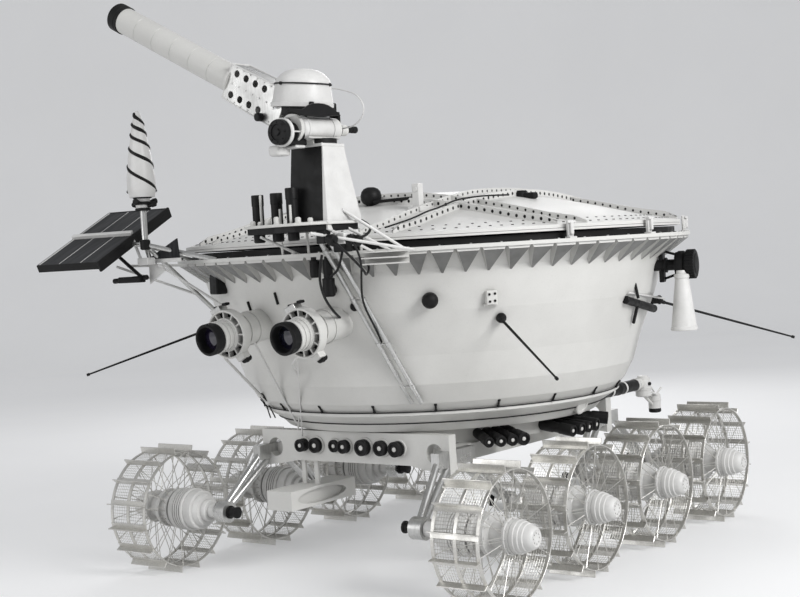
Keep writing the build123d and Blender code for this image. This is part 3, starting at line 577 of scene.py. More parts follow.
def wheel_spokes():
    """Thin crossed spokes from the hub's flanges to the hoops, with their nipples."""
    parts = []
    for number, (root, root_r, end, turn) in enumerate(SPOKES):
        end_r = HOOP_R - 0.004
        start = (0, root, root_r)
        finish = (end_r * sin(radians(turn)), end, end_r * cos(radians(turn)))
        near = Vector(finish).lerp(Vector(start), 0.1)
        spoke = joined([bar(start, finish, 0.0016, 6), bar(near, finish, 0.003, 6)], "spoke")
        spoke.data.transform(Matrix.Rotation(number * tau / (4 * LUG_COUNT), 4, "Y"))
        parts += spun(spoke, LUG_COUNT)
    return joined(parts, "spokes")


def wheel_hub():
    """The turned hub and its outer cap, with rings of bolts."""
    parts = [lathe(HUB_STEPS, 48)]
    for count, radius, height, size in HUB_BOLTS:
        head = lathe([(height - 0.001, size), (height + 0.003, size), (height + 0.004, size * 0.75)], 6)
        head.data.transform(Matrix.Translation((radius, 0, 0)))
        parts += spun(head, count, "Z")
    hub = joined(parts, "hub")
    hub.data.transform(OUTWARD)
    return hub


def motor_drum():
    """The fixed motor's ringed drum."""
    steps = list(DRUM_STEPS)
    for place in DRUM_GROOVES:
        steps += [(place, 0.086), (place, 0.082), (place + 0.004, 0.082), (place + 0.004, 0.086)]
    drum = lathe(steps + DRUM_END, 48)
    drum.data.transform(OUTWARD)
    return drum


def motor_plug():
    """The black connector and its collar at the motor's inner end."""
    plug = lathe(MOTOR_PLUG, 20)
    plug.data.transform(Matrix.Translation((0, KNUCKLE_IN - TRACK_HALF, 0))
                        @ Matrix.Rotation(radians(90), 4, "X"))
    return plug


def add_wheels():
    """Dresses the eight wheels, and the motors that hold them."""
    turning = [(wheel_tyre(), "tyre", "wheel_metal", "wheel_metal", "rim"),
               (wheel_mesh(), "wire_mesh", "wire_cloth", "wheel_metal", None),
               (wheel_spokes(), "spokes", "wheel_metal", "wheel_metal", None),
               (wheel_hub(), "hub_body", "hub_white", "hub_white", "hub")]
    drum, plug = motor_drum(), motor_plug()
    for side_name, turn in (("left", 0.0), ("right", pi)):
        side = Matrix.Rotation(turn, 4, "Z")
        drums, plugs = [], []
        for number, x in enumerate(AXLE_X):
            name = f"wheel_{side_name}_{number + 1}"
            place = Matrix.Translation((x, TRACK_HALF * cos(turn), AXLE_Z)) @ side
            for source, part, finish, slot, node in turning:
                piece = copied(source, place)
                piece.name = f"{name}_{part}"
                dressed(piece, FINISH[finish], name)
                if node:
                    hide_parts(f"{name}_{node}")
            drums.append(copied(drum, place))
            plugs.append(copied(plug, place))
        drums = joined(drums, f"motor_drum_bodies_{side_name}")
        dressed(drums, FINISH["hub_white"], "hull")
        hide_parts(f"motor_drums_{side_name}")
        dressed(joined(plugs, f"motor_plugs_{side_name}"), FINISH["black_enamel"], "hull")
    for source in [row[0] for row in turning] + [drum, plug]:
        bpy.data.objects.remove(source)


# Lid. The dome and its webs, whose round holes are open
LID_DOME = [(0.0, 1.492), (0.210, 1.488), (0.420, 1.466), (0.710, 1.397), (0.876, 1.353), (1.037, 1.322)]
LID_R = 1.037
LID_LOW = 1.308
# Webs, the same in four directions: (distance from the middle, height, radius of the holes)
WEBS = [(0.360, 0.020, 0.0055), (0.480, 0.026, 0.0068)]
WEB_PITCH = 0.035
WEB_THICK = 0.006
WEB_EDGE = 0.012
# A dark strip under each web, painted shade seen through its holes, lies this much lower than the web
SHADE_STRIP_DROP = 0.004
SHADE_STRIP_THICK = 0.0012
# Rows of dark dots near the edge, painted shade where small holes are: (radius of the row, count, radius of
# a dot)
DOTS = [(0.992, 150, 0.0055), (0.925, 120, 0.0050)]


def lid_height(radius):
    """The height of the dome's outside at a radius."""
    for (inner_r, inner_z), (outer_r, outer_z) in zip(LID_DOME, LID_DOME[1:]):
        if radius <= outer_r:
            return inner_z + (outer_z - inner_z) * (radius - inner_r) / (outer_r - inner_r)
    return LID_DOME[-1][1]


def lid_shell():
    """The dome's skin, thick as in the solids, open below, with a chamfered edge."""
    steps = [(LID_LOW, LID_R - 0.004), (LID_LOW + 0.002, LID_R), (1.320, LID_R)]
    steps += [(height, max(radius, 0.004)) for radius, height in reversed(LID_DOME)]
    dome = lathe(steps, 120)
    only(dome)
    bpy.ops.object.mode_set(mode="EDIT")
    bpy.ops.mesh.select_all(action="DESELECT")
    bpy.ops.mesh.select_mode(type="FACE")
    bpy.ops.object.mode_set(mode="OBJECT")
    for face in dome.data.polygons:
        face.select = face.normal.z < -0.9 and face.center.z < LID_LOW + 0.001
    bpy.ops.object.mode_set(mode="EDIT")
    bpy.ops.mesh.delete(type="FACE")
    bpy.ops.object.mode_set(mode="OBJECT")
    applied(dome, "SOLIDIFY", thickness=0.007, offset=-1)
    return softened(dome, 40)


def web_reach(place):
    """Half the length of a web at a distance from the middle."""
    return sqrt((LID_R - WEB_EDGE) ** 2 - place ** 2)


def bent_strip(place, height, thick):
    """An upright strip along X at a distance from the middle, bent over the dome, its ends tapered."""
    reach = web_reach(place)
    deselect()
    bpy.ops.mesh.primitive_grid_add(x_subdivisions=36, y_subdivisions=2, size=1,
                                    rotation=(radians(90), 0, 0))
    strip = bpy.context.object
    strip.scale = (2 * reach, height + 0.004, 1)
    settle(strip)
    for vertex in strip.data.vertices:
        ends = 0.35 if abs(vertex.co.x) > reach - 0.001 and vertex.co.z > 0 else 1.0
        vertex.co.z = (vertex.co.z + height / 2 - 0.002) * ends + lid_height(hypot(vertex.co.x, place))
        vertex.co.y = place
    return applied(strip, "SOLIDIFY", thickness=thick, offset=0)


def pierced_web(place, height, hole_r):
    """A bent strip with a row of round holes."""
    strip = bent_strip(place, height, WEB_THICK)
    holes = []
    count = int((web_reach(place) - 0.03) / WEB_PITCH)
    for number in range(-count, count + 1):
        x = number * WEB_PITCH
        z = lid_height(hypot(x, place)) + height * 0.45
        deselect()
        bpy.ops.mesh.primitive_cylinder_add(vertices=14, radius=hole_r, depth=0.04, location=(x, place, z),
                                            rotation=(radians(90), 0, 0))
        holes.append(bpy.context.object)
    cutter = joined(holes, "web_holes")
    applied(strip, "BOOLEAN", operation="DIFFERENCE", solver="MANIFOLD", object=cutter)
    bpy.data.objects.remove(cutter)
    return strip


def add_lid():
    """The dome, its two pairs of crossed webs with dark strips under them as painted shade in their holes,
    and the rows of dark dots near its edge as painted shade of holes.
    """
    dome = lid_shell()
    dome.name = "lid_dome_skin"
    dressed(dome, FINISH["lid_white"], "lid")
    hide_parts("lid_dome")
    parts, shade_strips = [], []
    for place, height, hole_r in WEBS:
        # Dark strips under the webs: painted shade seen through the holes.
        shade_strips += spun(bent_strip(place, height - SHADE_STRIP_DROP, SHADE_STRIP_THICK), 4, "Z")
        parts += spun(pierced_web(place, height, hole_r), 4, "Z")
    finished([softened(part, 30) for part in parts], "lid_webs", "lid_white", "lid")
    finished(shade_strips, "lid_web_shade_strips", "dark_fittings", "lid")
    # Dark dots for holes: painted shade.
    dots = []
    for radius, count, size in DOTS:
        height = lid_height(radius)
        dot = lathe([(height - 0.002, size), (height + 0.0015, size), (height + 0.0022, size * 0.6)], 8)
        dot.data.transform(Matrix.Translation((radius, 0, 0)))
        dots += spun(dot, count, "Z")
    finished(dots, "lid_dots", "dark_fittings", "lid")


# Small pieces
def turned(start, end, steps, sides=24):
    """A turned form whose (height, radius) steps run from start towards end."""
    piece = lathe(steps, sides)
    piece.data.transform(towards(start, end))
    return piece


def polar(radius, azimuth, height):
    """A point on the hull, from its radius, its azimuth in degrees and its height."""
    return (radius * cos(radians(azimuth)), radius * sin(radians(azimuth)), height)


def moved(parts, matrix):
    """Moves the meshes of several parts."""
    for part in parts:
        part.data.transform(matrix)
    return parts


def mirrored(parts):
    """The parts with their twins on the rover's right side."""
    return parts + [copied(part, Matrix.Scale(-1, 4, (0, 1, 0))) for part in parts]


def finished(parts, name, finish, body="hull", replaced=()):
    """Joins parts to one dressed piece, which may take the place of CAD nodes."""
    piece = joined(parts, name) if len(parts) > 1 else settle(parts[0])
    piece.name = name
    piece.data.name = name
    dressed(piece, FINISH[finish], body)
    if replaced:
        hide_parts(*replaced)
    return piece


def bolt(place, outward, radius=0.004, height=0.003):
    """A hexagonal bolt head on its washer, standing outward from a place."""
    end = Vector(place) + Vector(outward)
    steps = [(-0.001, radius * 1.5), (0.0008, radius * 1.5), (0.0008, radius), (height, radius),
             (height + 0.0006, radius * 0.8)]
    return turned(place, end, steps, 6)


def wall_radius(height):
    """The radius of the tub's wall at a height."""
    for (low_z, low_r), (high_z, high_r) in zip(WALL, WALL[1:]):
        if height <= high_z:
            return low_r + (high_r - low_r) * (height - low_z) / (high_z - low_z)
    return WALL[-1][1]


# Hull. The wall's (height, radius) steps, as in the solids
WALL = [(0.566, 0.655), (0.603, 0.692), (0.634, 0.745), (0.652, 0.745), (0.685, 0.779), (0.759, 0.820),
        (0.871, 0.855), (1.035, 0.921), (1.190, 0.970), (1.256, 1.030)]
BEAM_FACE = 0.622
PLUG_Z = 0.503
# Connectors on the front beam: (y, radius, length)
BEAM_PLUGS = [(-0.240, 0.026, 0.040), (-0.176, 0.030, 0.026), (-0.083, 0.025, 0.018), (-0.027, 0.027, 0.030),
              (0.069, 0.032, 0.034), (0.155, 0.030, 0.028), (0.235, 0.030, 0.038)]
# Connectors under the tub's left foot: (azimuth, radius)
FOOT_PLUGS = [(50, 0.020), (54, 0.022), (58, 0.023), (62, 0.026), (83, 0.023), (88, 0.025), (93, 0.023),
              (99, 0.026), (116, 0.026)]
STUD_COUNT = 20
# Studs on the seam: (distance from the foot, radius)
STUD_STEPS = [(0, 0.006), (0.005, 0.006), (0.006, 0.004), (0.024, 0.004), (0.026, 0.006), (0.034, 0.006),
              (0.035, 0.004)]
# Dark lines round the wall: (radius, height)
SEAM_LINES = [(0.7545, 0.651), (0.694, 0.601)]
FLANGE_TOP = 1.270
FLANGE_BOLTS = 60
# Black cans under the flange: (x, y, top, foot, radius)
CANS = [(1.037, 0.220, 1.256, 1.181, 0.019), (1.025, 0.270, 1.256, 1.175, 0.017),
        (1.016, 0.262, 1.190, 1.110, 0.023)]
# Black knobs on the front wall: (azimuth, height, radius)
KNOBS = [(17.2, 1.066, 0.017), (12.2, 1.135, 0.024)]
# Dark slits in the front wall: (azimuth, height)
SLITS = [(-14.3, 1.076), (-3.5, 1.108)]
SLIT_LEAN = 17
BALL_AZIMUTH = 34.5
BALL_STEPS = [(0, 0.014), (0.010, 0.021), (0.020, 0.028), (0.032, 0.0305), (0.044, 0.028), (0.054, 0.021),
              (0.059, 0.010)]
BALL_SEAT = [(0.001, 0.030), (0.008, 0.030), (0.011, 0.026), (0.012, 0.018)]
BOX_AZIMUTH = 48
# Dark spots on the small box's face: (y, z)
BOX_SPOTS = [(-0.010, 1.084), (0.011, 1.086), (-0.009, 1.058), (0.010, 1.060)]
DISC_STEPS = [(0, 0.038), (0.022, 0.038), (0.025, 0.035), (0.025, 0.026), (0.021, 0.024)]


def round_plug(start, end, radius):
    """A screwed connector: its dark shell with a grooved ring, and its pale collar and pin."""
    length = (Vector(end) - Vector(start)).length
    groove = [(length * 0.42, radius), (length * 0.46, radius * 0.88), (length * 0.60, radius * 0.88),
              (length * 0.64, radius)]
    mouth = [(length - 0.002, radius), (length, radius - 0.002), (length, radius * 0.72),
             (length - 0.006, radius * 0.68)]
    shell = turned(start, end,
                   [(-0.004, radius * 0.9), (0.004, radius * 0.9), (0.006, radius)] + groove + mouth)
    collar = turned(start, end,
                    [(-0.002, radius * 1.22), (0.005, radius * 1.22), (0.007, radius * 1.15),
                     (0.007, radius * 0.95)], 28)
    pin = turned(start, end,
                 [(length - 0.010, radius * 0.30), (length - 0.003, radius * 0.30),
                  (length - 0.002, radius * 0.22)], 12)
    return shell, [collar, pin]


def add_connectors():
    """The connectors on the front beam and along the tub's foot."""
    shells, collars = [], []
    for y, radius, length in BEAM_PLUGS:
        shell, trim = round_plug((BEAM_FACE, y, PLUG_Z), (BEAM_FACE + length, y, PLUG_Z), radius)
        shells.append(shell)
        collars += trim
    for azimuth, radius in FOOT_PLUGS:
        shell, trim = round_plug(polar(0.520, azimuth, 0.533), polar(0.700, azimuth, 0.511), radius)
        shells.append(shell)
        collars += trim
    finished(shells, "connector_shells", "dark_fittings", replaced=("beam_connectors",))
    finished(collars, "connector_collars", "white_enamel")


def add_seam_and_flange():
    """Studs and dark lines round the seam, and bolts on the flange."""
    stud = turned(polar(0.757, 0, 0.652), polar(0.774, 0, 0.684), STUD_STEPS, 10)
    stud.data.transform(Matrix.Rotation(radians(-2), 4, "Z"))
    seams = spun(stud, STUD_COUNT, "Z")
    for radius, height in SEAM_LINES:
        bpy.ops.mesh.primitive_torus_add(major_radius=radius, minor_radius=0.0022, major_segments=120,
                                         minor_segments=6, location=(0, 0, height))
        seams.append(softened(settle(bpy.context.object)))
    finished(seams, "seam_studs", "dark_fittings")
    bolts = spun(bolt((1.061, 0.02, FLANGE_TOP), (0, 0, 1)), FLANGE_BOLTS, "Z")
    finished(bolts, "flange_bolts", "bare_metal")


def add_wall_fittings():
    """The wall's small fittings: cans, knobs, slits, a ball, a small box with dark spots, and a disc."""
    dark, pale = [], []
    for x, y, top, low, radius in CANS:
        steps = [(0, radius * 0.7), (0.012, radius * 0.7), (0.014, radius), (top - low - 0.006, radius),
                 (top - low, radius * 0.75)]
        dark.append(turned((x, y, top), (x, y, low), steps, 20))
    for azimuth, height, radius in KNOBS:
        root = wall_radius(height)
        dark.append(turned(polar(root - 0.008, azimuth, height), polar(root + 0.020, azimuth, height),
                           [(0, radius), (0.016, radius), (0.020, radius * 0.7), (0.024, radius * 0.4)], 16))
    for azimuth, height in SLITS:
        root = wall_radius(height) + 0.002
        slit = slab((root - 0.006, -0.004, -0.024), (root + 0.006, 0.004, 0.024), 0.0015)
        place = Matrix.Rotation(radians(azimuth), 4, "Z") @ Matrix.Translation((0, 0, height))
        lean = place @ Matrix.Translation((root, 0, 0)) @ Matrix.Rotation(radians(SLIT_LEAN), 4, "Y")
        dark += moved([slit], lean @ Matrix.Translation((-root, 0, 0)))
    dark += moved([slab((0.955, -0.040, 1.130), (1.000, 0.040, 1.250), 0.006, 2)],
                  Matrix.Rotation(radians(-25), 4, "Z"))
    ball_wall = wall_radius(1.076)
    ball_root = polar(ball_wall - 0.006, BALL_AZIMUTH, 1.078)
    ball_end = polar(ball_wall + 0.060, BALL_AZIMUTH, 1.072)
    dark.append(turned(ball_root, ball_end, BALL_STEPS, 28))
    pale.append(turned(ball_root, ball_end, BALL_SEAT, 28))
    turn = Matrix.Rotation(radians(BOX_AZIMUTH), 4, "Z")
    root = wall_radius(1.070)
    pale += moved([slab((root - 0.012, -0.020, 1.046), (root + 0.030, 0.020, 1.098), 0.004, 2),
                   slab((root - 0.010, -0.026, 1.040), (root + 0.008, 0.026, 1.050), 0.002)], turn)
    for y, z in BOX_SPOTS:
        spot = turned((root + 0.028, y, z), (root + 0.036, y, z),
                      [(0, 0.0045), (0.005, 0.0045), (0.006, 0.003)], 12)
        dark += moved([spot], turn)
    disc_root, disc_end = polar(0.680, 88.5, 0.612), polar(0.738, 88.5, 0.584)
    pale.append(turned(disc_root, disc_end, DISC_STEPS, 32))
    finished(dark, "wall_fitting_bodies", "black_enamel", replaced=("wall_fittings",))
    finished(pale, "wall_fitting_seats", "white_enamel")


# Fittings of the lid
LID_BALL = [(0, 0.020), (0.006, 0.022), (0.012, 0.032), (0.024, 0.040), (0.042, 0.042), (0.058, 0.038),
            (0.070, 0.028), (0.076, 0.014)]
LID_KNOB = [(0, 0.026), (0.006, 0.030), (0.028, 0.029), (0.036, 0.022)]
LID_EYE = [(0, 0.011), (0.009, 0.011), (0.010, 0.009), (0.010, 0.006)]
LID_CABLE = [(0.925, 0.462, 1.346), (0.818, 0.504, 1.372), (0.728, 0.506, 1.398), (0.638, 0.503, 1.412),
             (0.535, 0.500, 1.438), (0.464, 0.519, 1.446), (0.360, 0.540, 1.452), (0.230, 0.545, 1.452)]
CLIP_AZIMUTHS = (-120, -87, -64, 64, 87, 120)


def add_lid_fittings():
    """On the lid a black ball with its rod, a small box, a knob and a thin cable, and clips at its edge."""
    dark = [turned((0.500, 0.075, 1.440), (0.500, 0.075, 1.540), LID_BALL, 32)]
    dark.append(bar((0.530, 0.110, 1.456), (0.468, 0.270, 1.462), 0.0065, 10))
    knob = turned((0.050, 0.488, 1.436), (0.050, 0.488, 1.500), LID_KNOB, 24)
    tail = slab((0.030, 0.500, 1.436), (0.070, 0.558, 1.462), 0.008, 2)
    dark += [knob, tail]
    finished(dark, "lid_sensors", "black_enamel", "lid")
    box = slab((0.534, 0.324, 1.400), (0.566, 0.356, 1.512), 0.003, 2)
    seat = slab((0.520, 0.310, 1.404), (0.580, 0.370, 1.424), 0.002)
    eye = turned((0.560, 0.340, 1.490), (0.580, 0.340, 1.490), LID_EYE, 16)
    finished([box, seat, eye], "lid_box", "hub_white", "lid")
    finished([wire(LID_CABLE, 0.0035, 6, 6)], "lid_cable", "dark_fittings", "lid")
    base = slab((1.042, -0.016, 1.268), (1.074, 0.016, 1.276), 0.0015)
    stem = slab((1.046, -0.012, 1.270), (1.060, 0.012, 1.336), 0.003, 2)
    lever = slab((1.058, -0.007, 1.284), (1.071, 0.007, 1.330), 0.003, 2)
    pin = bar((1.064, -0.018, 1.328), (1.064, 0.018, 1.328), 0.005, 12)
    clip = joined([base, stem, lever, pin], "clip")
    clips = [copied(clip, Matrix.Rotation(radians(azimuth), 4, "Z")) for azimuth in CLIP_AZIMUTHS]
    bpy.data.objects.remove(clip)
    finished(clips, "lid_clips", "hub_white", replaced=("lid_locks",))


# Television cameras
CAMERA_Y = 0.185
CAMERA_Z = 0.972
CAMERA_BODY = [(0.820, 0.062), (1.044, 0.062), (1.044, 0.078), (1.060, 0.078), (1.060, 0.093),
               (1.096, 0.093), (1.098, 0.091), (1.098, 0.087), (1.096, 0.085), (1.072, 0.084)]
CAMERA_BARREL = [(1.060, 0.064), (1.100, 0.064), (1.102, 0.061), (1.112, 0.060), (1.112, 0.057),
                 (1.124, 0.057), (1.124, 0.060), (1.134, 0.060), (1.134, 0.057), (1.146, 0.057),
                 (1.146, 0.060), (1.156, 0.060), (1.158, 0.056)]
CAMERA_HOOD = [(1.156, 0.050), (1.156, 0.057), (1.166, 0.057), (1.168, 0.060), (1.196, 0.060),
               (1.200, 0.056), (1.200, 0.050), (1.196, 0.048), (1.160, 0.044)]
CAMERA_GLASS = [(1.158, 0.047), (1.162, 0.047), (1.166, 0.030), (1.170, 0.026), (1.172, 0.012)]
CAMERA_PLUG = [(0, 0.012), (0.012, 0.012), (0.014, 0.016), (0.032, 0.016)]
# Heights of the two raised bands on the body
CAMERA_BANDS = (0.960, 1.010)
CAMERA_POCKETS = 12
# The point that the drooping mouth turns about
CAMERA_BEND = 1.130
CAMERA_DROOP = 7


def camera_band(height):
    """A low raised band round the camera's body."""
    return lathe([(height, 0.062), (height, 0.066), (height + 0.010, 0.066), (height + 0.010, 0.062)], 48)


def both_cameras(parts):
    """Copies of the parts for the left and the right camera. The parts themselves are removed."""
    pair = [copied(part, Matrix.Translation((0, side * CAMERA_Y, CAMERA_Z))) for side in (1, -1)
            for part in parts]
    for part in parts:
        bpy.data.objects.remove(part)
    return pair


def add_tv_cameras():
    """Two cameras, each with a pale ringed barrel, a flange with deep open pockets and a black mouth."""
    droop = Matrix.Translation((CAMERA_BEND, 0, 0.008)) @ Matrix.Rotation(radians(CAMERA_DROOP), 4, "Y")
    forward = droop @ Matrix.Translation((-CAMERA_BEND, 0, 0)) @ Matrix.Rotation(radians(90), 4, "Y")
    white = [lathe(CAMERA_BODY, 48), lathe(CAMERA_BARREL, 48)]
    white += spun(slab((0.060, -0.003, 1.068), (0.088, 0.003, 1.096), 0.001), CAMERA_POCKETS, "Z")
    white += [camera_band(height) for height in CAMERA_BANDS]
    clamp = [slab((-0.110, -0.026, 1.052), (-0.086, 0.026, 1.094), 0.003, 2)]
    moved(clamp, Matrix.Rotation(radians(24), 4, "Z"))
    lug = slab((0.084, -0.020, 1.056), (0.112, 0.020, 1.092), 0.003, 2)
    moved([lug], Matrix.Rotation(radians(30), 4, "Z"))
    # The thin black disc is the pockets' floor: painted shade in the pockets.
    dark = [lathe([(1.070, 0.086), (1.0735, 0.086)], 40), lathe(CAMERA_HOOD, 48)]
    dark += [slab((-0.105, -0.054, 1.060), (-0.082, -0.028, 1.088), 0.003),
             slab((-0.118, -0.010, 1.060), (-0.108, 0.010, 1.086), 0.002)]
    dark.append(turned((0.098, 0.050, 1.040), (0.098, 0.050, 1.072), CAMERA_PLUG, 16))
    glass = lathe(CAMERA_GLASS, 40)
    moved(white + dark + clamp + [lug, glass], forward)
    finished(both_cameras(white + [lug]), "tv_camera_bodies", "white_enamel",
             replaced=("tv_camera_left", "tv_camera_right"))
    finished(both_cameras(clamp), "tv_camera_clamps", "bare_metal")
    finished(both_cameras(dark), "tv_camera_mouths", "black_enamel")
    dressed(joined(both_cameras([glass]), "tv_camera_lenses"), LENS, "hull")


# Panorama cameras: a black drum outside the wall over a white cone
DRUM_Z = 1.140
DRUM_AZIMUTH = 104
PANORAMA_DRUM = [(0, 0.040), (0.002, 0.050), (0.010, 0.050), (0.012, 0.054), (0.034, 0.054), (0.036, 0.046),
                 (0.042, 0.046), (0.044, 0.056), (0.078, 0.056), (0.080, 0.054), (0.080, 0.044),
                 (0.084, 0.040), (0.086, 0.028)]
PANORAMA_NECK = [(0, 0.022), (0.060, 0.022), (0.062, 0.030), (0.070, 0.030), (0.072, 0.022), (0.110, 0.022)]
PANORAMA_CONE = [(0, 0.050), (0.003, 0.053), (0.012, 0.053), (0.015, 0.050), (0.205, 0.027), (0.209, 0.030),
                 (0.222, 0.030), (0.224, 0.022), (0.238, 0.020)]
KNURL_COUNT = 30
CONE_R = 1.065
CONE_AZIMUTH = 102


def add_panorama_cameras():
    """On each side a black knurled drum on its bracket, with a white cone below."""
    drum = turned((1.036, 0, DRUM_Z), (1.100, 0, DRUM_Z), PANORAMA_DRUM, 40)
    knurls = []
    for number in range(KNURL_COUNT):
        ridge = slab((1.082, -0.0022, 0.052), (1.114, 0.0022, 0.0585), 0.0008)
        ridge.data.transform(Matrix.Translation((0, 0, DRUM_Z))
                             @ Matrix.Rotation(number * tau / KNURL_COUNT, 4, "X"))
        knurls.append(ridge)
    inner = [turned((0.930, 0, DRUM_Z), (1.040, 0, DRUM_Z), PANORAMA_NECK, 24)]
    back = slab((0.968, -0.010, 1.072), (0.986, 0.034, 1.208), 0.003)
    arms = [bar((0.980, 0.020, 1.196), (1.050, 0.008, 1.176), 0.005, 8),
            bar((0.980, 0.020, 1.084), (1.050, 0.008, 1.106), 0.005, 8)]
    outward = Matrix.Rotation(radians(DRUM_AZIMUTH), 4, "Z")
    dark = moved([drum] + knurls + inner + [back] + arms, outward)
    finished(mirrored(dark), "panorama_camera_drums", "black_enamel")
    cone = turned(polar(CONE_R, CONE_AZIMUTH, 0.880), polar(CONE_R, CONE_AZIMUTH, 1.3), PANORAMA_CONE, 40)
    seam = bar(polar(CONE_R + 0.048, CONE_AZIMUTH, 0.894),
               polar(CONE_R + 0.026, CONE_AZIMUTH, 1.085), 0.0014, 6)
    finished(mirrored([cone, seam]), "panorama_cones", "hub_white",
             replaced=("panorama_camera_left", "panorama_camera_right"))


# Whips of the left side: (foot, tip). The right side has their twins
WHIPS = [((0.575, 0.698, 0.994), (0.947, 1.152, 0.812)), ((-0.421, 0.817, 0.993), (-0.720, 1.290, 0.808))]
WHIP_BOSS = [(0, 0.020), (0.036, 0.020), (0.038, 0.016), (0.056, 0.016), (0.058, 0.019), (0.066, 0.019),
             (0.072, 0.014), (0.078, 0.006)]
# Black bars on the wall between the whips: (start, end, radius, sides)
WALL_BARS = [((0.030, 0.922, 1.020), (-0.262, 0.892, 0.966), 0.016, 14),
             ((-0.262, 0.892, 0.966), (-0.330, 0.860, 0.968), 0.010, 14),
             ((-0.040, 0.930, 1.080), (-0.046, 0.938, 1.020), 0.006, 8),
             ((-0.070, 0.926, 1.010), (-0.104, 0.880, 0.920), 0.007, 8)]


def add_whips():
    """Tapered black whips on ringed bosses, with the black bars between them and a pale feed."""
    parts = []
    for foot, tip in WHIPS:
        foot, tip = Vector(foot), Vector(tip)
        outward = Vector((foot.x, foot.y, 0)).normalized()
        length = (tip - foot).length
        parts.append(turned(foot - outward * 0.045, foot + outward * 0.030, WHIP_BOSS, 20))
        rod = [(0, 0.008), (0.040, 0.008), (0.044, 0.0055), (length * 0.6, 0.0045), (length - 0.012, 0.0035)]
        knob = [(length - 0.012, 0.006), (length, 0.006)]
        parts.append(turned(foot, tip, rod + knob, 10))
    parts += [bar(*row) for row in WALL_BARS]
    finished(mirrored(parts), "whip_rods", "black_enamel", replaced=("whip_aerials",))
    pale = [bar((0.024, 0.936, 1.046), (-0.400, 0.870, 0.999), 0.004, 8)]
    finished(mirrored(pale), "whip_feeds", "hub_white")


# Aerial. The head is made about its tilting axis with its aim along +X, then turned to the rover's right
POST = (1.135, 0.360)
PIVOT = (*POST, 1.698)
PLATE_TOP = 1.348
AIM = Matrix.Translation(PIVOT) @ Matrix.Rotation(radians(-90), 4, "Z")
ELEVATED = AIM @ Matrix.Rotation(radians(-28), 4, "Y") @ Matrix.Translation((0, 0, 0.008))
# Star sensors: (x, y, height of the top)
CANISTERS = [(1.206, 0.116, 1.486), (1.214, 0.212, 1.487), (1.240, 0.306, 1.499)]
CANISTER_LOW = 1.316
# The tray's corners, and the rows (low, high, inset) of its top and of the black layer under it, which is
# painted shade
TRAY = [(1.050, 0.060), (1.225, 0.072), (1.272, 0.104), (1.290, 0.170), (1.296, 0.260), (1.288, 0.350),
        (1.262, 0.404), (1.215, 0.446), (1.120, 0.462), (1.040, 0.450), (1.022, 0.360), (1.034, 0.200)]
TRAY_ROWS = [(1.366, 1.376, 0.0), (1.345, 1.366, 0.010)]
TRAY_MIDDLE = (1.16, 0.26)
TRAY_HALF = (0.13, 0.19)
TRAY_LEGS = (5, 11, 17, 22)
# Rods on the tray: (x, y, top). Feet on the tray: (x, y, radius, top)
TRAY_RODS = [(1.224, 0.146, 1.484), (1.232, 0.242, 1.430), (1.262, 0.316, 1.440)]
TRAY_FEET = [(1.250, 0.128, 0.012, 1.394), (1.262, 0.172, 0.010, 1.390), (1.266, 0.214, 0.014, 1.398),
             (1.276, 0.262, 0.012, 1.402), (1.266, 0.352, 0.013, 1.396), (1.244, 0.388, 0.012, 1.392)]
POST_KNOB = [(0, 0.017), (0.020, 0.017), (0.022, 0.021), (0.036, 0.021), (0.040, 0.016)]
# Plugs under the plate: (x, y, height, length)
POST_PLUGS = [(1.222, 0.442, 1.318, 0.030), (1.150, 0.462, 1.316, 0.026), (1.090, 0.446, 1.312, 0.030)]
# Braces: (upper end, lower end)
BRACES = [((1.130, 0.437, 1.415), (0.945, 0.567, 1.262)), ((1.130, 0.437, 1.360), (0.970, 0.520, 1.262)),
          ((1.215, 0.436, 1.352), (1.010, 0.470, 1.262)), ((1.200, 0.450, 1.340), (1.020, 0.350, 1.262)),
          ((1.270, 0.180, 1.336), (1.012, 0.140, 1.262)), ((1.262, 0.400, 1.338), (1.000, 0.640, 1.262))]
# The middle line of the long pair of struts, half their spread, and where the clamps sit along them
STRUT_LOW, STRUT_HIGH = (0.690, 0.383, 0.690), (1.088, 0.300, 1.336)
STRUT_SPREAD = 0.022
CLAMP_SHARES = (0.10, 0.36, 0.62, 0.90)
STRUT_CLAMP = [(0, 0.0095), (0.002, 0.0115), (0.018, 0.0115), (0.020, 0.0095)]
# Cables at the post's foot: (radius, points)
POST_CABLES = [(0.005, [(1.030, 0.430, 1.380), (1.020, 0.470, 1.360), (1.060, 0.500, 1.330),
                        (1.110, 0.486, 1.310), (1.110, 0.470, 1.304)]),
               (0.0045, [(1.222, 0.470, 1.306), (1.216, 0.510, 1.270), (1.130, 0.520, 1.200),
                         (1.060, 0.470, 1.180), (0.972, 0.420, 1.205), (0.958, 0.400, 1.220)]),
               (0.004, [(1.150, 0.490, 1.304), (1.140, 0.520, 1.250), (1.090, 0.470, 1.150),
                        (1.000, 0.400, 1.080), (0.880, 0.360, 0.980), (0.842, 0.352, 0.930)]),
               (0.005, [(1.208, 0.400, 1.262), (1.206, 0.380, 1.200), (1.150, 0.340, 1.130),
                        (1.050, 0.300, 1.060), (0.938, 0.240, 1.030)]),
               (0.0045, [(1.120, 0.420, 1.270), (1.120, 0.400, 1.210), (1.080, 0.340, 1.190),
                         (1.022, 0.270, 1.180)])]
DOME_STEPS = [(0.084, 0.112), (0.098, 0.112), (0.100, 0.107), (0.160, 0.098), (0.172, 0.0965),
              (0.184, 0.090), (0.196, 0.079), (0.206, 0.065), (0.213, 0.047), (0.217, 0.026), (0.218, 0.010)]
DOME_TILT = 6
# The dome stands this far in front of the tilting axis, and leans about a point at this height over it
DOME_X, DOME_LEAN_Z = 0.065, 0.120
DOME_BAND = [(0.161, 0.0985), (0.161, 0.1015), (0.166, 0.1015), (0.166, 0.097)]
BAND_SCREWS = (80, 200, 320)
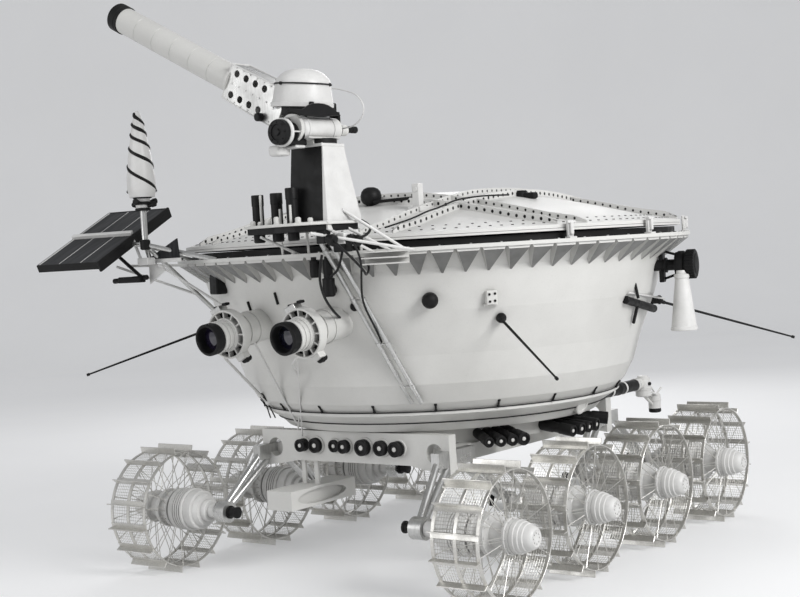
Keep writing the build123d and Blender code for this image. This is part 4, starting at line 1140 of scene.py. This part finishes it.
# The arched guard's outline: (along the tilting axis, height over it)
GUARD = [(-0.052, 0.044), (-0.034, 0.055), (-0.012, 0.067), (0.010, 0.076), (0.036, 0.081), (0.066, 0.082),
         (0.094, 0.080), (0.118, 0.073), (0.138, 0.063), (0.150, 0.057), (0.225, 0.058), (0.225, 0.049),
         (0.154, 0.037)]
MOTOR_DROP = 0.0155
TUBE_START, TUBE_END, TIP_END = 0.435, 1.060, 1.110
TUBE_R = 0.051
TUBE_JOINT = 0.104
TUBE_COLLAR = [(0, 0.058), (0.012, 0.058), (0.014, 0.056), (0.014, 0.050)]
HEAD_KNOB = [(0, 0.011), (0.006, 0.011), (0.008, 0.015), (0.026, 0.015), (0.030, 0.011)]
WIRE_LOOP = [(0.060, -0.085, 0.148), (0.020, -0.112, 0.152), (-0.020, -0.122, 0.140),
             (-0.084, -0.112, 0.120), (-0.124, -0.102, 0.080), (-0.122, -0.098, 0.036),
             (-0.070, -0.100, 0.002), (-0.016, -0.099, 0.004)]
CRADLE_EAR = [(0, 0.028), (0.001, 0.030), (0.011, 0.030), (0.012, 0.028), (0.012, 0.0215), (0.010, 0.021)]
# The drive on the tilting axis: its drum, the motor's end ring, the motor and its far cap
DRIVE_DRUM = [(0, 0.030), (0.004, 0.038), (0.012, 0.0415), (0.034, 0.0415), (0.034, 0.044), (0.042, 0.044),
              (0.042, 0.0415), (0.164, 0.0415), (0.164, 0.044), (0.174, 0.044), (0.176, 0.0415),
              (0.190, 0.0415), (0.196, 0.038), (0.200, 0.030)]
DRIVE_RING = [(0, 0.042), (0.003, 0.049), (0.013, 0.049), (0.016, 0.046)]
DRIVE_MOTOR = [(0, 0.030), (0.002, 0.033), (0.030, 0.033), (0.032, 0.036), (0.046, 0.036), (0.048, 0.031),
               (0.074, 0.031), (0.088, 0.041), (0.090, 0.0435), (0.108, 0.0435), (0.111, 0.041),
               (0.111, 0.028), (0.107, 0.026), (0.108, 0.012), (0.114, 0.010)]
MOTOR_BOLTS = 8
DRIVE_CAP = [(0, 0.010), (0.002, 0.0125), (0.026, 0.0125), (0.028, 0.0105), (0.036, 0.0105), (0.038, 0.0125),
             (0.072, 0.0125), (0.074, 0.010)]
TURNTABLE_DISC = [(0, 0.058), (0.001, 0.060), (0.016, 0.060), (0.017, 0.057)]


def cross(near, far, steps, sides=28):
    """A turned form along the tilting axis, in the head's own frame."""
    return turned((0, near, 0), (0, far, 0), steps, sides)


def add_aerial_dome():
    """The domed housing, which leans back a little, with its dark band and screws."""
    lean = AIM @ Matrix.Translation((DOME_X, 0, DOME_LEAN_Z)) @ Matrix.Rotation(radians(-DOME_TILT), 4, "Y")
    tilt = lean @ Matrix.Translation((-DOME_X, 0, -DOME_LEAN_Z))
    dome = moved([turned((DOME_X, 0, 0), (DOME_X, 0, 1), DOME_STEPS, 64)], tilt)
    finished(dome, "aerial_housing", "hub_white", "aerial_head", replaced=("aerial_dome",))
    band = [turned((DOME_X, 0, 0), (DOME_X, 0, 1), DOME_BAND, 64)]
    screw = turned((0.096, 0, 0.163), (0.110, 0, 0.163), [(0, 0.006), (0.007, 0.006), (0.008, 0.004)], 10)
    for azimuth in BAND_SCREWS:
        turn = Matrix.Rotation(radians(azimuth), 4, "Z")
        band.append(copied(screw, Matrix.Translation((DOME_X, 0, 0)) @ turn))
    bpy.data.objects.remove(screw)
    finished(moved(band, tilt), "aerial_housing_band", "dark_fittings", "aerial_head")


def add_aerial_tube():
    """The long tube in six lengths, with its collar and its black end."""
    tube_steps = [(0, TUBE_R - 0.002), (0.002, TUBE_R)]
    for number in range(1, 6):
        joint = number * TUBE_JOINT
        tube_steps += [(joint - 0.0015, TUBE_R), (joint, TUBE_R - 0.002), (joint + 0.0015, TUBE_R)]
    length = TUBE_END - TUBE_START
    tube = [turned((TUBE_START, 0, 0), (TUBE_END, 0, 0), tube_steps + [(length, TUBE_R)], 48)]
    tube += [turned((TUBE_START - 0.006, 0, 0), (TUBE_START, 0, 0), TUBE_COLLAR, 48)]
    finished(moved(tube, ELEVATED), "aerial_tube_skin", "white_enamel", "aerial_head",
             replaced=("aerial_tube",))
    tip = TIP_END - TUBE_END
    cap_steps = [(-0.001, 0.052), (0.001, 0.055), (0.010, 0.055), (0.011, 0.0535), (0.014, 0.0535),
                 (0.015, 0.055), (tip - 0.004, 0.055), (tip, 0.052), (tip, 0.044), (tip - 0.004, 0.042),
                 (tip - 0.003, 0.012)]
    cap = moved([turned((TUBE_END, 0, 0), (TIP_END, 0, 0), cap_steps, 48)], ELEVATED)
    finished(cap, "aerial_tube_cap", "black_enamel", "aerial_head", replaced=("aerial_tip",))


def add_aerial_bracket():
    """The pierced bracket's edge bars, bolts, end frame and knob, and the wire looped down to the cradle."""
    trim = []
    for side in (-1, 1):
        for up in (-1, 1):
            trim.append(bar((0.152, side * 0.046, up * 0.071), (0.434, side * 0.046, up * 0.064), 0.003, 8))
        for number in range(7):
            along = 0.190 + number * 0.036
            for up in (-0.060, 0.0, 0.060):
                trim.append(bolt((along, side * 0.046, up), (0, side, 0), 0.0028, 0.002))
    end_frame = slab((0.430, -0.049, -0.067), (0.437, 0.049, 0.067), 0.003)
    finished(moved(trim + [end_frame], ELEVATED), "aerial_bracket_trim", "hub_white", "aerial_head")
    knob = turned((0.226, 0.044, -0.057), (0.226, 0.076, -0.057), HEAD_KNOB, 20)
    finished(moved([knob], ELEVATED), "aerial_bracket_knob", "black_enamel", "aerial_head")
    finished(moved([wire(WIRE_LOOP, 0.0024, 6, 8)], AIM), "aerial_wire_loop", "hub_white", "aerial_head")


def add_aerial_cradle():
    """The cradle under the housing: a flat plate, an arched guard along the tilting axis, and two arms."""
    cradle = [plate([(-0.056, y, z) for y, z in GUARD], 0.012, 0.002, 40)]
    cradle += [slab((-0.052, -0.058, 0.046), (0.080, 0.096, 0.058), 0.003),
               slab((-0.030, -0.070, 0.056), (0.110, 0.070, 0.092), 0.006, 2)]
    for side in (-1, 1):
        cradle.append(slab((-0.022, side * 0.090 - 0.006, 0.000),
                           (0.022, side * 0.090 + 0.006, 0.050), 0.002))
        cradle.append(cross(side * 0.084, side * 0.096, CRADLE_EAR, 32))
    finished(moved(cradle, AIM), "aerial_cradle_guard", "black_enamel", "aerial_head",
             replaced=("aerial_cradle",))


def add_aerial_turntable():
    """The ringed drum under the cradle, the drive motor and its brackets."""
    drop = Matrix.Translation((0, 0, -MOTOR_DROP))
    white = [cross(-0.078, 0.122, DRIVE_DRUM, 40)]
    ring = [cross(0.184, 0.200, DRIVE_RING, 40),
            slab((-0.042, 0.126, -0.002), (-0.034, 0.186, 0.003), 0.001)]
    white += moved(ring, drop)
    white.append(slab((-0.046, -0.060, -0.036), (0.040, 0.108, -0.031), 0.002))
    white.append(slab((-0.018, -0.050, 0.037), (0.018, 0.150, 0.041), 0.001))
    white.append(slab((0.020, 0.130, -0.092), (0.070, 0.196, -0.056), 0.010, 3))
    white.append(slab((-0.020, 0.100, -0.068), (0.060, 0.150, -0.058), 0.003))
    finished(moved(white, AIM), "aerial_drive_rings", "hub_white", "aerial_turntable")
    motor = [cross(0.110, 0.224, DRIVE_MOTOR, 40)]
    for number in range(MOTOR_BOLTS):
        head = bolt((0.034, 0, 0.2205), (0, 0, 1), 0.0028)
        head.data.transform(OUTWARD @ Matrix.Rotation(number * tau / MOTOR_BOLTS, 4, "Z"))
        motor.append(head)
    moved(motor, drop)
    motor.append(turned((0, 0, -0.0515), (0, 0, -0.034), TURNTABLE_DISC, 48))
    motor += [slab((-0.020, 0.090, -0.058), (0.040, 0.180, -0.030), 0.003),
              slab((0.000, 0.124, -0.060), (0.034, 0.170, 0.034), 0.003)]
    motor += moved([cross(-0.204, -0.130, DRIVE_CAP, 24)], Matrix.Translation((0, 0, 0.004)))
    finished(moved(motor, AIM), "aerial_motor_shell", "black_enamel", "aerial_turntable",
             replaced=("aerial_drive_motor",))


def add_post_black_parts():
    """The post's black front panel, the star sensors, and the knob, plugs and boxes at its foot."""
    black = [tapered_block((1.150, 1.2175, 0.268, 0.4230, PLATE_TOP + 0.004),
                           (1.150, 1.1965, 0.279, 0.4165, 1.636))]
    for x, y, height in CANISTERS:
        length = height - CANISTER_LOW
        foot = [(0, 0.016), (0.004, 0.0205), (0.030, 0.0205),
                (0.032, 0.0225), (0.040, 0.0225), (0.042, 0.0205)]
        head = [(length - 0.040, 0.0205), (length - 0.038, 0.0220),
                (length - 0.003, 0.0220), (length, 0.021)]
        mouth = [(length, 0.017), (length - 0.020, 0.015)]
        black.append(turned((x, y, CANISTER_LOW), (x, y, height), foot + head + mouth, 32))
    black.append(turned((1.030, 0.375, 1.386), (1.030, 0.420, 1.386), POST_KNOB, 20))
    for x, y, z, reach in POST_PLUGS:
        steps = [(0, 0.016), (0.012, 0.016), (0.014, 0.020), (reach, 0.020)]
        black.append(turned((x, y, z), (x, y + reach, z - 0.012), steps, 18))
    black.append(slab((1.196, 0.398, 1.300), (1.232, 0.436, 1.346), 0.004, 2))
    black.append(slab((1.098, 0.395, 1.268), (1.140, 0.450, 1.330), 0.004, 2))
    finished(black, "post_black_parts", "black_enamel", replaced=("star_canisters",))


def tray_layer(low, high, inset):
    """One layer of the tray, its outline drawn in towards the tray's middle."""
    corners = []
    for x, y in TRAY:
        inner_x = x + inset * (TRAY_MIDDLE[0] - x) / TRAY_HALF[0]
        inner_y = y + inset * (TRAY_MIDDLE[1] - y) / TRAY_HALF[1]
        corners.append((inner_x, inner_y, (low + high) / 2))
    return plate(corners, high - low, 0.0015, 60)


def add_post_tray():
    """The tray round the post with a black layer under it as painted shade, on legs, with rods and small
    feet on it.
    """
    top, under_shade = [tray_layer(*row) for row in TRAY_ROWS]
    tray = [top]
    for azimuth in TRAY_LEGS:
        tray.append(bar(polar(1.066, azimuth, FLANGE_TOP), polar(1.072, azimuth, 1.350), 0.005, 8))
    for x, y, height in TRAY_RODS:
        tray.append(bar((x, y, 1.372), (x, y, height), 0.0045, 10))
    for x, y, size, height in TRAY_FEET:
        steps = [(0, size), (0.006, size), (0.007, size * 0.8), (height - 1.376, size * 0.8),
                 (height - 1.372, size * 0.5)]
        tray.append(turned((x, y, 1.372), (x, y, height), steps, 14))
    finished(tray, "post_tray", "white_enamel", replaced=("aerial_base_plate",))
    # The black layer under the tray is painted shade of its underside.
    finished([under_shade], "post_tray_under_shade", "black_enamel")


def add_post_braces():
    """The post's collar with its bolts, its white side panel, and the braces to the flange."""
    white = [slab((1.074, 0.299, 1.634), (1.198, 0.421, 1.645), 0.002)]
    for x in (1.078, 1.192):
        for y in (0.303, 0.417):
            place = (x + (POST[0] - x) * 0.12, y + (POST[1] - y) * 0.12, 1.6452)
            white.append(bolt(place, (0, 0, 1), 0.0028, 0.002))
    white.append(slab((1.048, 0.270, 1.371), (1.222, 0.446, 1.379), 0.002))
    white.append(tapered_block((1.028, 1.2155, 0.400, 0.4415, 1.377), (1.078, 1.1945, 0.400, 0.4202, 1.634)))
    white += [bar(upper, lower, 0.0055, 8) for upper, lower in BRACES]
    white.append(slab((1.140, 0.440, 1.296), (1.176, 0.476, 1.334), 0.004, 2))
    white.append(slab((1.052, 0.404, 1.288), (1.080, 0.444, 1.330), 0.004, 2))
    finished(white, "post_braces", "hub_white")


def add_strut_clamps():
    """Clamps and cross bars along the long pair of struts."""
    clamps = []
    along = (Vector(STRUT_HIGH) - Vector(STRUT_LOW)).normalized() * 0.010
    spread = Vector((0, STRUT_SPREAD, 0))
    for share in CLAMP_SHARES:
        middle = Vector(STRUT_LOW).lerp(Vector(STRUT_HIGH), share)
        clamps.append(bar(middle - spread, middle + spread, 0.004, 8))
        for strut in (middle - spread, middle + spread):
            clamps.append(turned(strut - along, strut + along, STRUT_CLAMP, 14))
    finished(clamps, "strut_clamps", "bare_metal")


def add_post_cables():
    """The wiring at the post's foot."""
    finished([wire(points, radius, 6, 6) for radius, points in POST_CABLES], "post_cables", "dark_fittings")


# Front right: spiral aerial, reflector and the bars that carry them
MAST = (1.150, -0.530)
CONE_STEPS = [(1.522, 0.048), (1.550, 0.055), (1.585, 0.055), (1.678, 0.044), (1.788, 0.025), (1.838, 0.014),
              (1.850, 0.008)]
# Heights at which the two arms of the spiral cross the cone's left edge in turn
SPIRAL_HEIGHTS = [1.842, 1.803, 1.762, 1.712, 1.641, 1.545]
SPIRAL_START = -43.0
SPIRAL_DEPTH = 0.0035
SPIRAL_WIRE = 0.0084
CONE_FOOT = [(1.478, 0.020), (1.480, 0.026), (1.500, 0.027), (1.522, 0.030)]
FOOT_RINGS = [(1.470, 0.018), (1.472, 0.030), (1.480, 0.030), (1.482, 0.022), (1.492, 0.022), (1.494, 0.033),
              (1.504, 0.033), (1.506, 0.024), (1.516, 0.024), (1.518, 0.036), (1.524, 0.036)]
# Plugs round the foot: (azimuth, height)
FOOT_SOCKETS = [(20, 1.500), (95, 1.488), (170, 1.502), (260, 1.492)]


def cone_radius(height):
    """The cone's radius at a height."""
    for (low_z, low_r), (high_z, high_r) in zip(CONE_STEPS, CONE_STEPS[1:]):
        if height <= high_z:
            return low_r + (high_r - low_r) * (height - low_z) / (high_z - low_z)
    return CONE_STEPS[-1][1]


def round_mast(radius, azimuth, height):
    """A point round the mast, from its distance, its azimuth in degrees and its height."""
    x, y, z = polar(radius, azimuth, height)
    return (MAST[0] + x, MAST[1] + y, z)


def spiral_arm(first):
    """One black arm wound down the cone from the first of the heights."""
    points = []
    steps = 8
    for number in range(first * steps, (len(SPIRAL_HEIGHTS) - 1) * steps + 1):
        whole, part = divmod(number, steps)
        later = min(whole + 1, len(SPIRAL_HEIGHTS) - 1)
        height = SPIRAL_HEIGHTS[whole] + (SPIRAL_HEIGHTS[later] - SPIRAL_HEIGHTS[whole]) * part / steps
        azimuth = SPIRAL_START + 180 * (number / steps - first)
        points.append(round_mast(cone_radius(height) - SPIRAL_DEPTH, azimuth, height))
    return wire(points, SPIRAL_WIRE, 6, 2)


def add_spiral():
    """The white cone with its two wound arms, and the ringed fittings at its foot."""
    cone = turned((*MAST, 0), (*MAST, 1), CONE_FOOT + CONE_STEPS + [(1.853, 0.004)], 48)
    finished([cone], "spiral_cone", "hub_white", replaced=("spiral_aerial",))
    dark = [spiral_arm(0), spiral_arm(1)]
    dark.append(turned((*MAST, 0), (*MAST, 1), FOOT_RINGS, 32))
    for azimuth, height in FOOT_SOCKETS:
        start, end = round_mast(0.030, azimuth, height), round_mast(0.062, azimuth, height + 0.006)
        dark.append(turned(start, end, [(0, 0.008), (0.016, 0.008), (0.018, 0.011), (0.032, 0.011)], 14))
    finished(dark, "spiral_arms", "black_enamel")


REFLECTOR_PLACE = (Matrix.Translation((1.160, -0.745, 1.371)) @ Matrix.Rotation(radians(8), 4, "Z")
                   @ Matrix.Rotation(radians(24.4), 4, "Y"))
# The thin pale lines across the panel, by their place along its width
PANEL_LINES = (-0.045, 0.060)
# Dark edges and ribs of the panel: (low corner, high corner, bevel)
PANEL_RIBS = [((-0.246, 0.144, -0.026), (0.246, 0.156, 0.017), 0.003),
              ((-0.244, -0.154, -0.015), (0.244, -0.149, 0.0145), 0.001),
              ((0.238, -0.152, -0.015), (0.244, 0.150, 0.0145), 0.001),
              ((-0.244, -0.152, -0.015), (-0.238, 0.150, 0.0145), 0.001),
              ((-0.200, -0.012, -0.030), (0.200, 0.012, -0.012), 0.002),
              ((-0.012, -0.140, -0.034), (0.012, 0.140, -0.012), 0.002)]
# Bars of the front right bracket: (start, end)
BRACKET_BARS = [((1.150, -0.640, 1.262), (0.962, -0.500, 1.252)),
                ((1.150, -0.700, 1.262), (0.880, -0.530, 1.130)),
                ((1.120, -0.500, 1.262), (0.930, -0.330, 1.075))]
BRACKET_JOINTS = [(1.150, -0.530, 1.340), (1.162, -0.700, 1.352)]


def add_reflector():
    """The reflector's pale edges, lines and batten, and its dark edges and ribs."""
    pale = [slab((-0.010, -0.156, 0.010), (0.010, 0.144, 0.028), 0.003),
            slab((-0.236, -0.147, 0.011), (0.236, -0.142, 0.0155), 0.001)]
    for y in PANEL_LINES:
        pale.append(slab((-0.236, y - 0.0012, 0.0125), (0.236, y + 0.0012, 0.0142), 0.0005))
    finished(moved(pale, REFLECTOR_PLACE), "reflector_edges", "hub_white")
    dark = moved([slab(*row) for row in PANEL_RIBS], REFLECTOR_PLACE)
    finished(dark, "reflector_ribs", "black_enamel")


def add_front_bracket():
    """The bracket's pale bars, block and three-cornered plate, and its black joints."""
    white = [slab((1.094, -0.600, 1.268), (1.106, -0.385, 1.283), 0.002),
             slab((1.130, -0.560, 1.262), (1.170, -0.500, 1.290), 0.004, 2)]
    white.append(bar((1.150, -0.600, 1.372), (1.150, -0.556, 1.278), 0.006, 10))
    bpy.ops.mesh.primitive_cylinder_add(vertices=3, radius=0.060, depth=0.006,
                                        location=(1.108, -0.530, 1.238), rotation=(0, radians(90), 0))
    gusset = settle(bpy.context.object)
    white.append(applied(gusset, "BEVEL", width=0.0015, segments=1))
    white += [bar(start, end, 0.005, 8) for start, end in BRACKET_BARS]
    finished(white, "front_bracket_trim", "hub_white")
    black = [bar((1.156, -0.740, 1.345), (1.150, -0.560, 1.215), 0.007, 10),
             bar((1.150, -0.720, 1.205), (1.140, -0.540, 1.215), 0.010, 10),
             slab((1.130, -0.680, 1.196), (1.166, -0.560, 1.220), 0.004, 2)]
    for x, y, z in BRACKET_JOINTS:
        steps = [(0, 0.014), (0.004, 0.020), (0.036, 0.020), (0.040, 0.014)]
        black.append(turned((x, y, z - 0.020), (x, y, z + 0.020), steps, 20))
    finished(black, "front_bracket_joints", "black_enamel")


# The front wall's light rods: (start, end, radius), and the cable beside them
FRONT_RODS = [((0.905, -0.385, 0.880), (0.655, -0.390, 0.665), 0.006),
              ((0.985, -0.155, 0.960), (0.680, -0.230, 0.600), 0.0045),
              ((0.960, 0.040, 0.900), (0.640, -0.237, 0.540), 0.003)]
FRONT_CABLE = [(1.078, 0.150, 0.900), (1.020, 0.060, 0.870), (0.860, -0.060, 0.830), (0.796, -0.100, 0.780),
               (0.730, -0.165, 0.690), (0.680, -0.215, 0.610), (0.650, -0.250, 0.565)]


def add_front_rods():
    """The light rods and the cable that hang on the front wall."""
    pale = [bar(start, end, radius, 8) for start, end, radius in FRONT_RODS]
    pale.append(wire(FRONT_CABLE, 0.0035, 6, 6))
    pale.append(turned((0.650, -0.384, 0.668), (0.690, -0.392, 0.700),
                       [(0, 0.014), (0.020, 0.016), (0.030, 0.010)], 16))
    finished(pale, "front_rods", "hub_white")
    steps = [(0, 0.012), (0.004, 0.015), (0.030, 0.015), (0.034, 0.011)]
    dark = [turned((0.668, -0.392, 0.690), (0.700, -0.392, 0.716), steps, 16)]
    dark.append(bar((0.668, -0.384, 0.668), (0.645, -0.372, 0.610), 0.0028, 6))
    dark.append(bar((0.668, -0.398, 0.668), (0.648, -0.396, 0.610), 0.0028, 6))
    finished(dark, "front_rod_ends", "dark_fittings")


# Rear: heater and ninth wheel
HEATER_Y = 0.460
# The pipe forward from the heater, the middle of which is at this height
DUCT_Z = 0.585
DUCT_RINGS = (-0.640, -0.760, -0.880)
UPPER_CAN = [(0, 0.030), (0.004, 0.0355), (0.030, 0.0355), (0.031, 0.038), (0.037, 0.038), (0.038, 0.0355),
             (0.076, 0.0355), (0.086, 0.031), (0.093, 0.020), (0.097, 0.008)]
LOWER_CAN = [(0.016, 0.0285), (0.050, 0.0285), (0.051, 0.031), (0.056, 0.031), (0.057, 0.0285),
             (0.078, 0.0285), (0.084, 0.022), (0.086, 0.010)]
CAN_FOOT = [(0, 0.022), (0.004, 0.0285), (0.020, 0.0285), (0.024, 0.026)]
RING_STEPS = [(0, 0.024), (0.001, 0.029), (0.013, 0.029), (0.014, 0.024)]
SLEEVE = [(0, 0.026), (0.010, 0.0275), (0.110, 0.0265), (0.120, 0.0285), (0.132, 0.0285), (0.140, 0.0265),
          (0.250, 0.0275), (0.260, 0.0290), (0.272, 0.0290), (0.280, 0.0265), (0.440, 0.0265),
          (0.448, 0.025)]


def add_heater():
    """Bands, caps and pipes of the two heater cans."""
    y = HEATER_Y
    cans = [turned((-0.950, y, 0.524), (-0.950, y, 0.640), UPPER_CAN, 32),
            turned((-1.055, y, 0.442), (-1.055, y, 0.530), LOWER_CAN, 28)]
    rings = [turned((x, y, DUCT_Z), (x + 0.014, y, DUCT_Z), RING_STEPS, 28) for x in DUCT_RINGS]
    bars = [bar((-0.930, y + 0.024, 0.560), (-1.060, y + 0.020, 0.516), 0.005, 8),
            bar((-0.952, y, 0.620), (-1.058, y, 0.532), 0.004, 8)]
    finished(cans + rings + bars, "heater_cans", "hub_white")
    dark = [turned((-0.440, y, DUCT_Z), (-0.900, y, DUCT_Z), SLEEVE, 28),
            turned((-1.055, y, 0.438), (-1.055, y, 0.462), CAN_FOOT, 28)]
    for azimuth in (20, 80):
        x, side, z = polar(0.034, azimuth, 0.584)
        start, end = (-0.950 + x, y + side, z), (-0.950 + x * 1.3, y + side * 1.3, z)
        dark.append(turned(start, end, [(0, 0.008), (0.008, 0.008), (0.009, 0.005)], 12))
    finished(dark, "heater_caps", "black_enamel")


NINTH_R = 0.105
NINTH_AXLE = (-1.290, 0.0, NINTH_R)
NINTH_CLEATS = 24
NINTH_SPOKES = 12
NINTH_HUB = [(-0.018, 0.011), (-0.016, 0.016), (-0.006, 0.016), (-0.004, 0.013), (0.004, 0.013),
             (0.006, 0.016), (0.016, 0.016), (0.018, 0.011)]


def add_ninth_wheel():
    """The ninth wheel's thin rim with its cleats, spokes and hub."""
    parts = [flat_hoop(0, NINTH_R - 0.002, 0.024, 0.003, 64)]
    cleat = slab((-0.0012, -0.013, NINTH_R - 0.006), (0.0012, 0.013, NINTH_R), 0.0005)
    parts += spun(cleat, NINTH_CLEATS)
    spoke = bar((0, 0.008, 0.014), (0, 0.0, NINTH_R - 0.005), 0.0028, 8)
    parts += spun(spoke, NINTH_SPOKES)
    hub = lathe(NINTH_HUB, 28)
    hub.data.transform(OUTWARD)
    wheel = moved(parts + [hub], Matrix.Translation(NINTH_AXLE))
    finished(wheel, "ninth_wheel_rim", "wheel_metal", "odometer_wheel", replaced=("odometer_wheel",))


# Floor, backdrop and light
FLOOR_HALF = 16.0
BACKDROP_RISE = 10.0
BACKDROP_CURVE = 4.0
STAGE_GREY = 0.72
STAGE_GLOW = 0.27
SKY_COLOUR = (0.80, 0.81, 0.83, 1)
SKY_STRENGTH = 0.52
LAMP_AIM = (0, 0, 0.9)
# Lamps, all aimed at the middle of the tub: (name, place, size, power in watts)
LAMPS = [("key_light", (1.5, 6.5, 4.2), 3.0, 330), ("fill_light", (6.5, -2.5, 2.4), 4.0, 90),
         ("back_light", (-5.0, -3.0, 3.6), 3.0, 90)]


def add_stage():
    """A pale floor that curves up into a pale backdrop behind the rover, as the camera sees it."""
    turn = Matrix.Rotation(radians(CAMERA_YAW - 180), 4, "Z")
    bpy.ops.mesh.primitive_plane_add(size=2 * FLOOR_HALF, location=(0, 0, 0))
    floor = bpy.context.object
    floor.name = "floor_and_backdrop"
    floor.scale = (1.0, 1.5, 1.0)
    settle(floor)
    bpy.ops.object.mode_set(mode="EDIT")
    bpy.ops.mesh.select_all(action="DESELECT")
    bpy.ops.mesh.select_mode(type="EDGE")
    bpy.ops.object.mode_set(mode="OBJECT")
    for edge in floor.data.edges:
        edge.select = all(floor.data.vertices[end].co.x < -FLOOR_HALF + 0.01 for end in edge.vertices)
    bpy.ops.object.mode_set(mode="EDIT")
    bpy.ops.mesh.extrude_region_move(TRANSFORM_OT_translate={"value": (0, 0, BACKDROP_RISE)})
    bpy.ops.object.mode_set(mode="OBJECT")
    applied(floor, "BEVEL", width=BACKDROP_CURVE, segments=16, limit_method="ANGLE", angle_limit=radians(40))
    softened(floor, 60)
    floor.data.transform(turn)
    floor.data.materials.append(stage_paint("stage_paint", STAGE_GREY, STAGE_GLOW))


def add_light(name, place, size, power):
    """One soft area light, aimed at the rover."""
    bpy.ops.object.light_add(type="AREA", location=place)
    light = bpy.context.object
    light.name = name
    light.data.shape = "DISK"
    light.data.size = size
    light.data.energy = power
    light.rotation_euler = (Vector(LAMP_AIM) - Vector(place)).to_track_quat("-Z", "Y").to_euler()


def add_lights():
    """A broad key from the left, a fill from the front and a rim from behind, under a pale sky."""
    for name, place, size, power in LAMPS:
        add_light(name, place, size, power)
    world = bpy.data.worlds.new("surround")
    world.use_nodes = True
    background = world.node_tree.nodes["Background"]
    background.inputs["Color"].default_value = SKY_COLOUR
    background.inputs["Strength"].default_value = SKY_STRENGTH
    bpy.context.scene.world = world


add_camera()
add_stage()
add_lights()
paint_nodes()
add_wheels()
add_lid()
add_connectors()
add_seam_and_flange()
add_wall_fittings()
add_lid_fittings()
add_tv_cameras()
add_panorama_cameras()
add_whips()
add_aerial_dome()
add_aerial_tube()
add_aerial_bracket()
add_aerial_cradle()
add_aerial_turntable()
add_post_black_parts()
add_post_tray()
add_post_braces()
add_strut_clamps()
add_post_cables()
add_spiral()
add_reflector()
add_front_bracket()
add_front_rods()
add_heater()
add_ninth_wheel()
bpy.context.scene.view_settings.view_transform = "Standard"
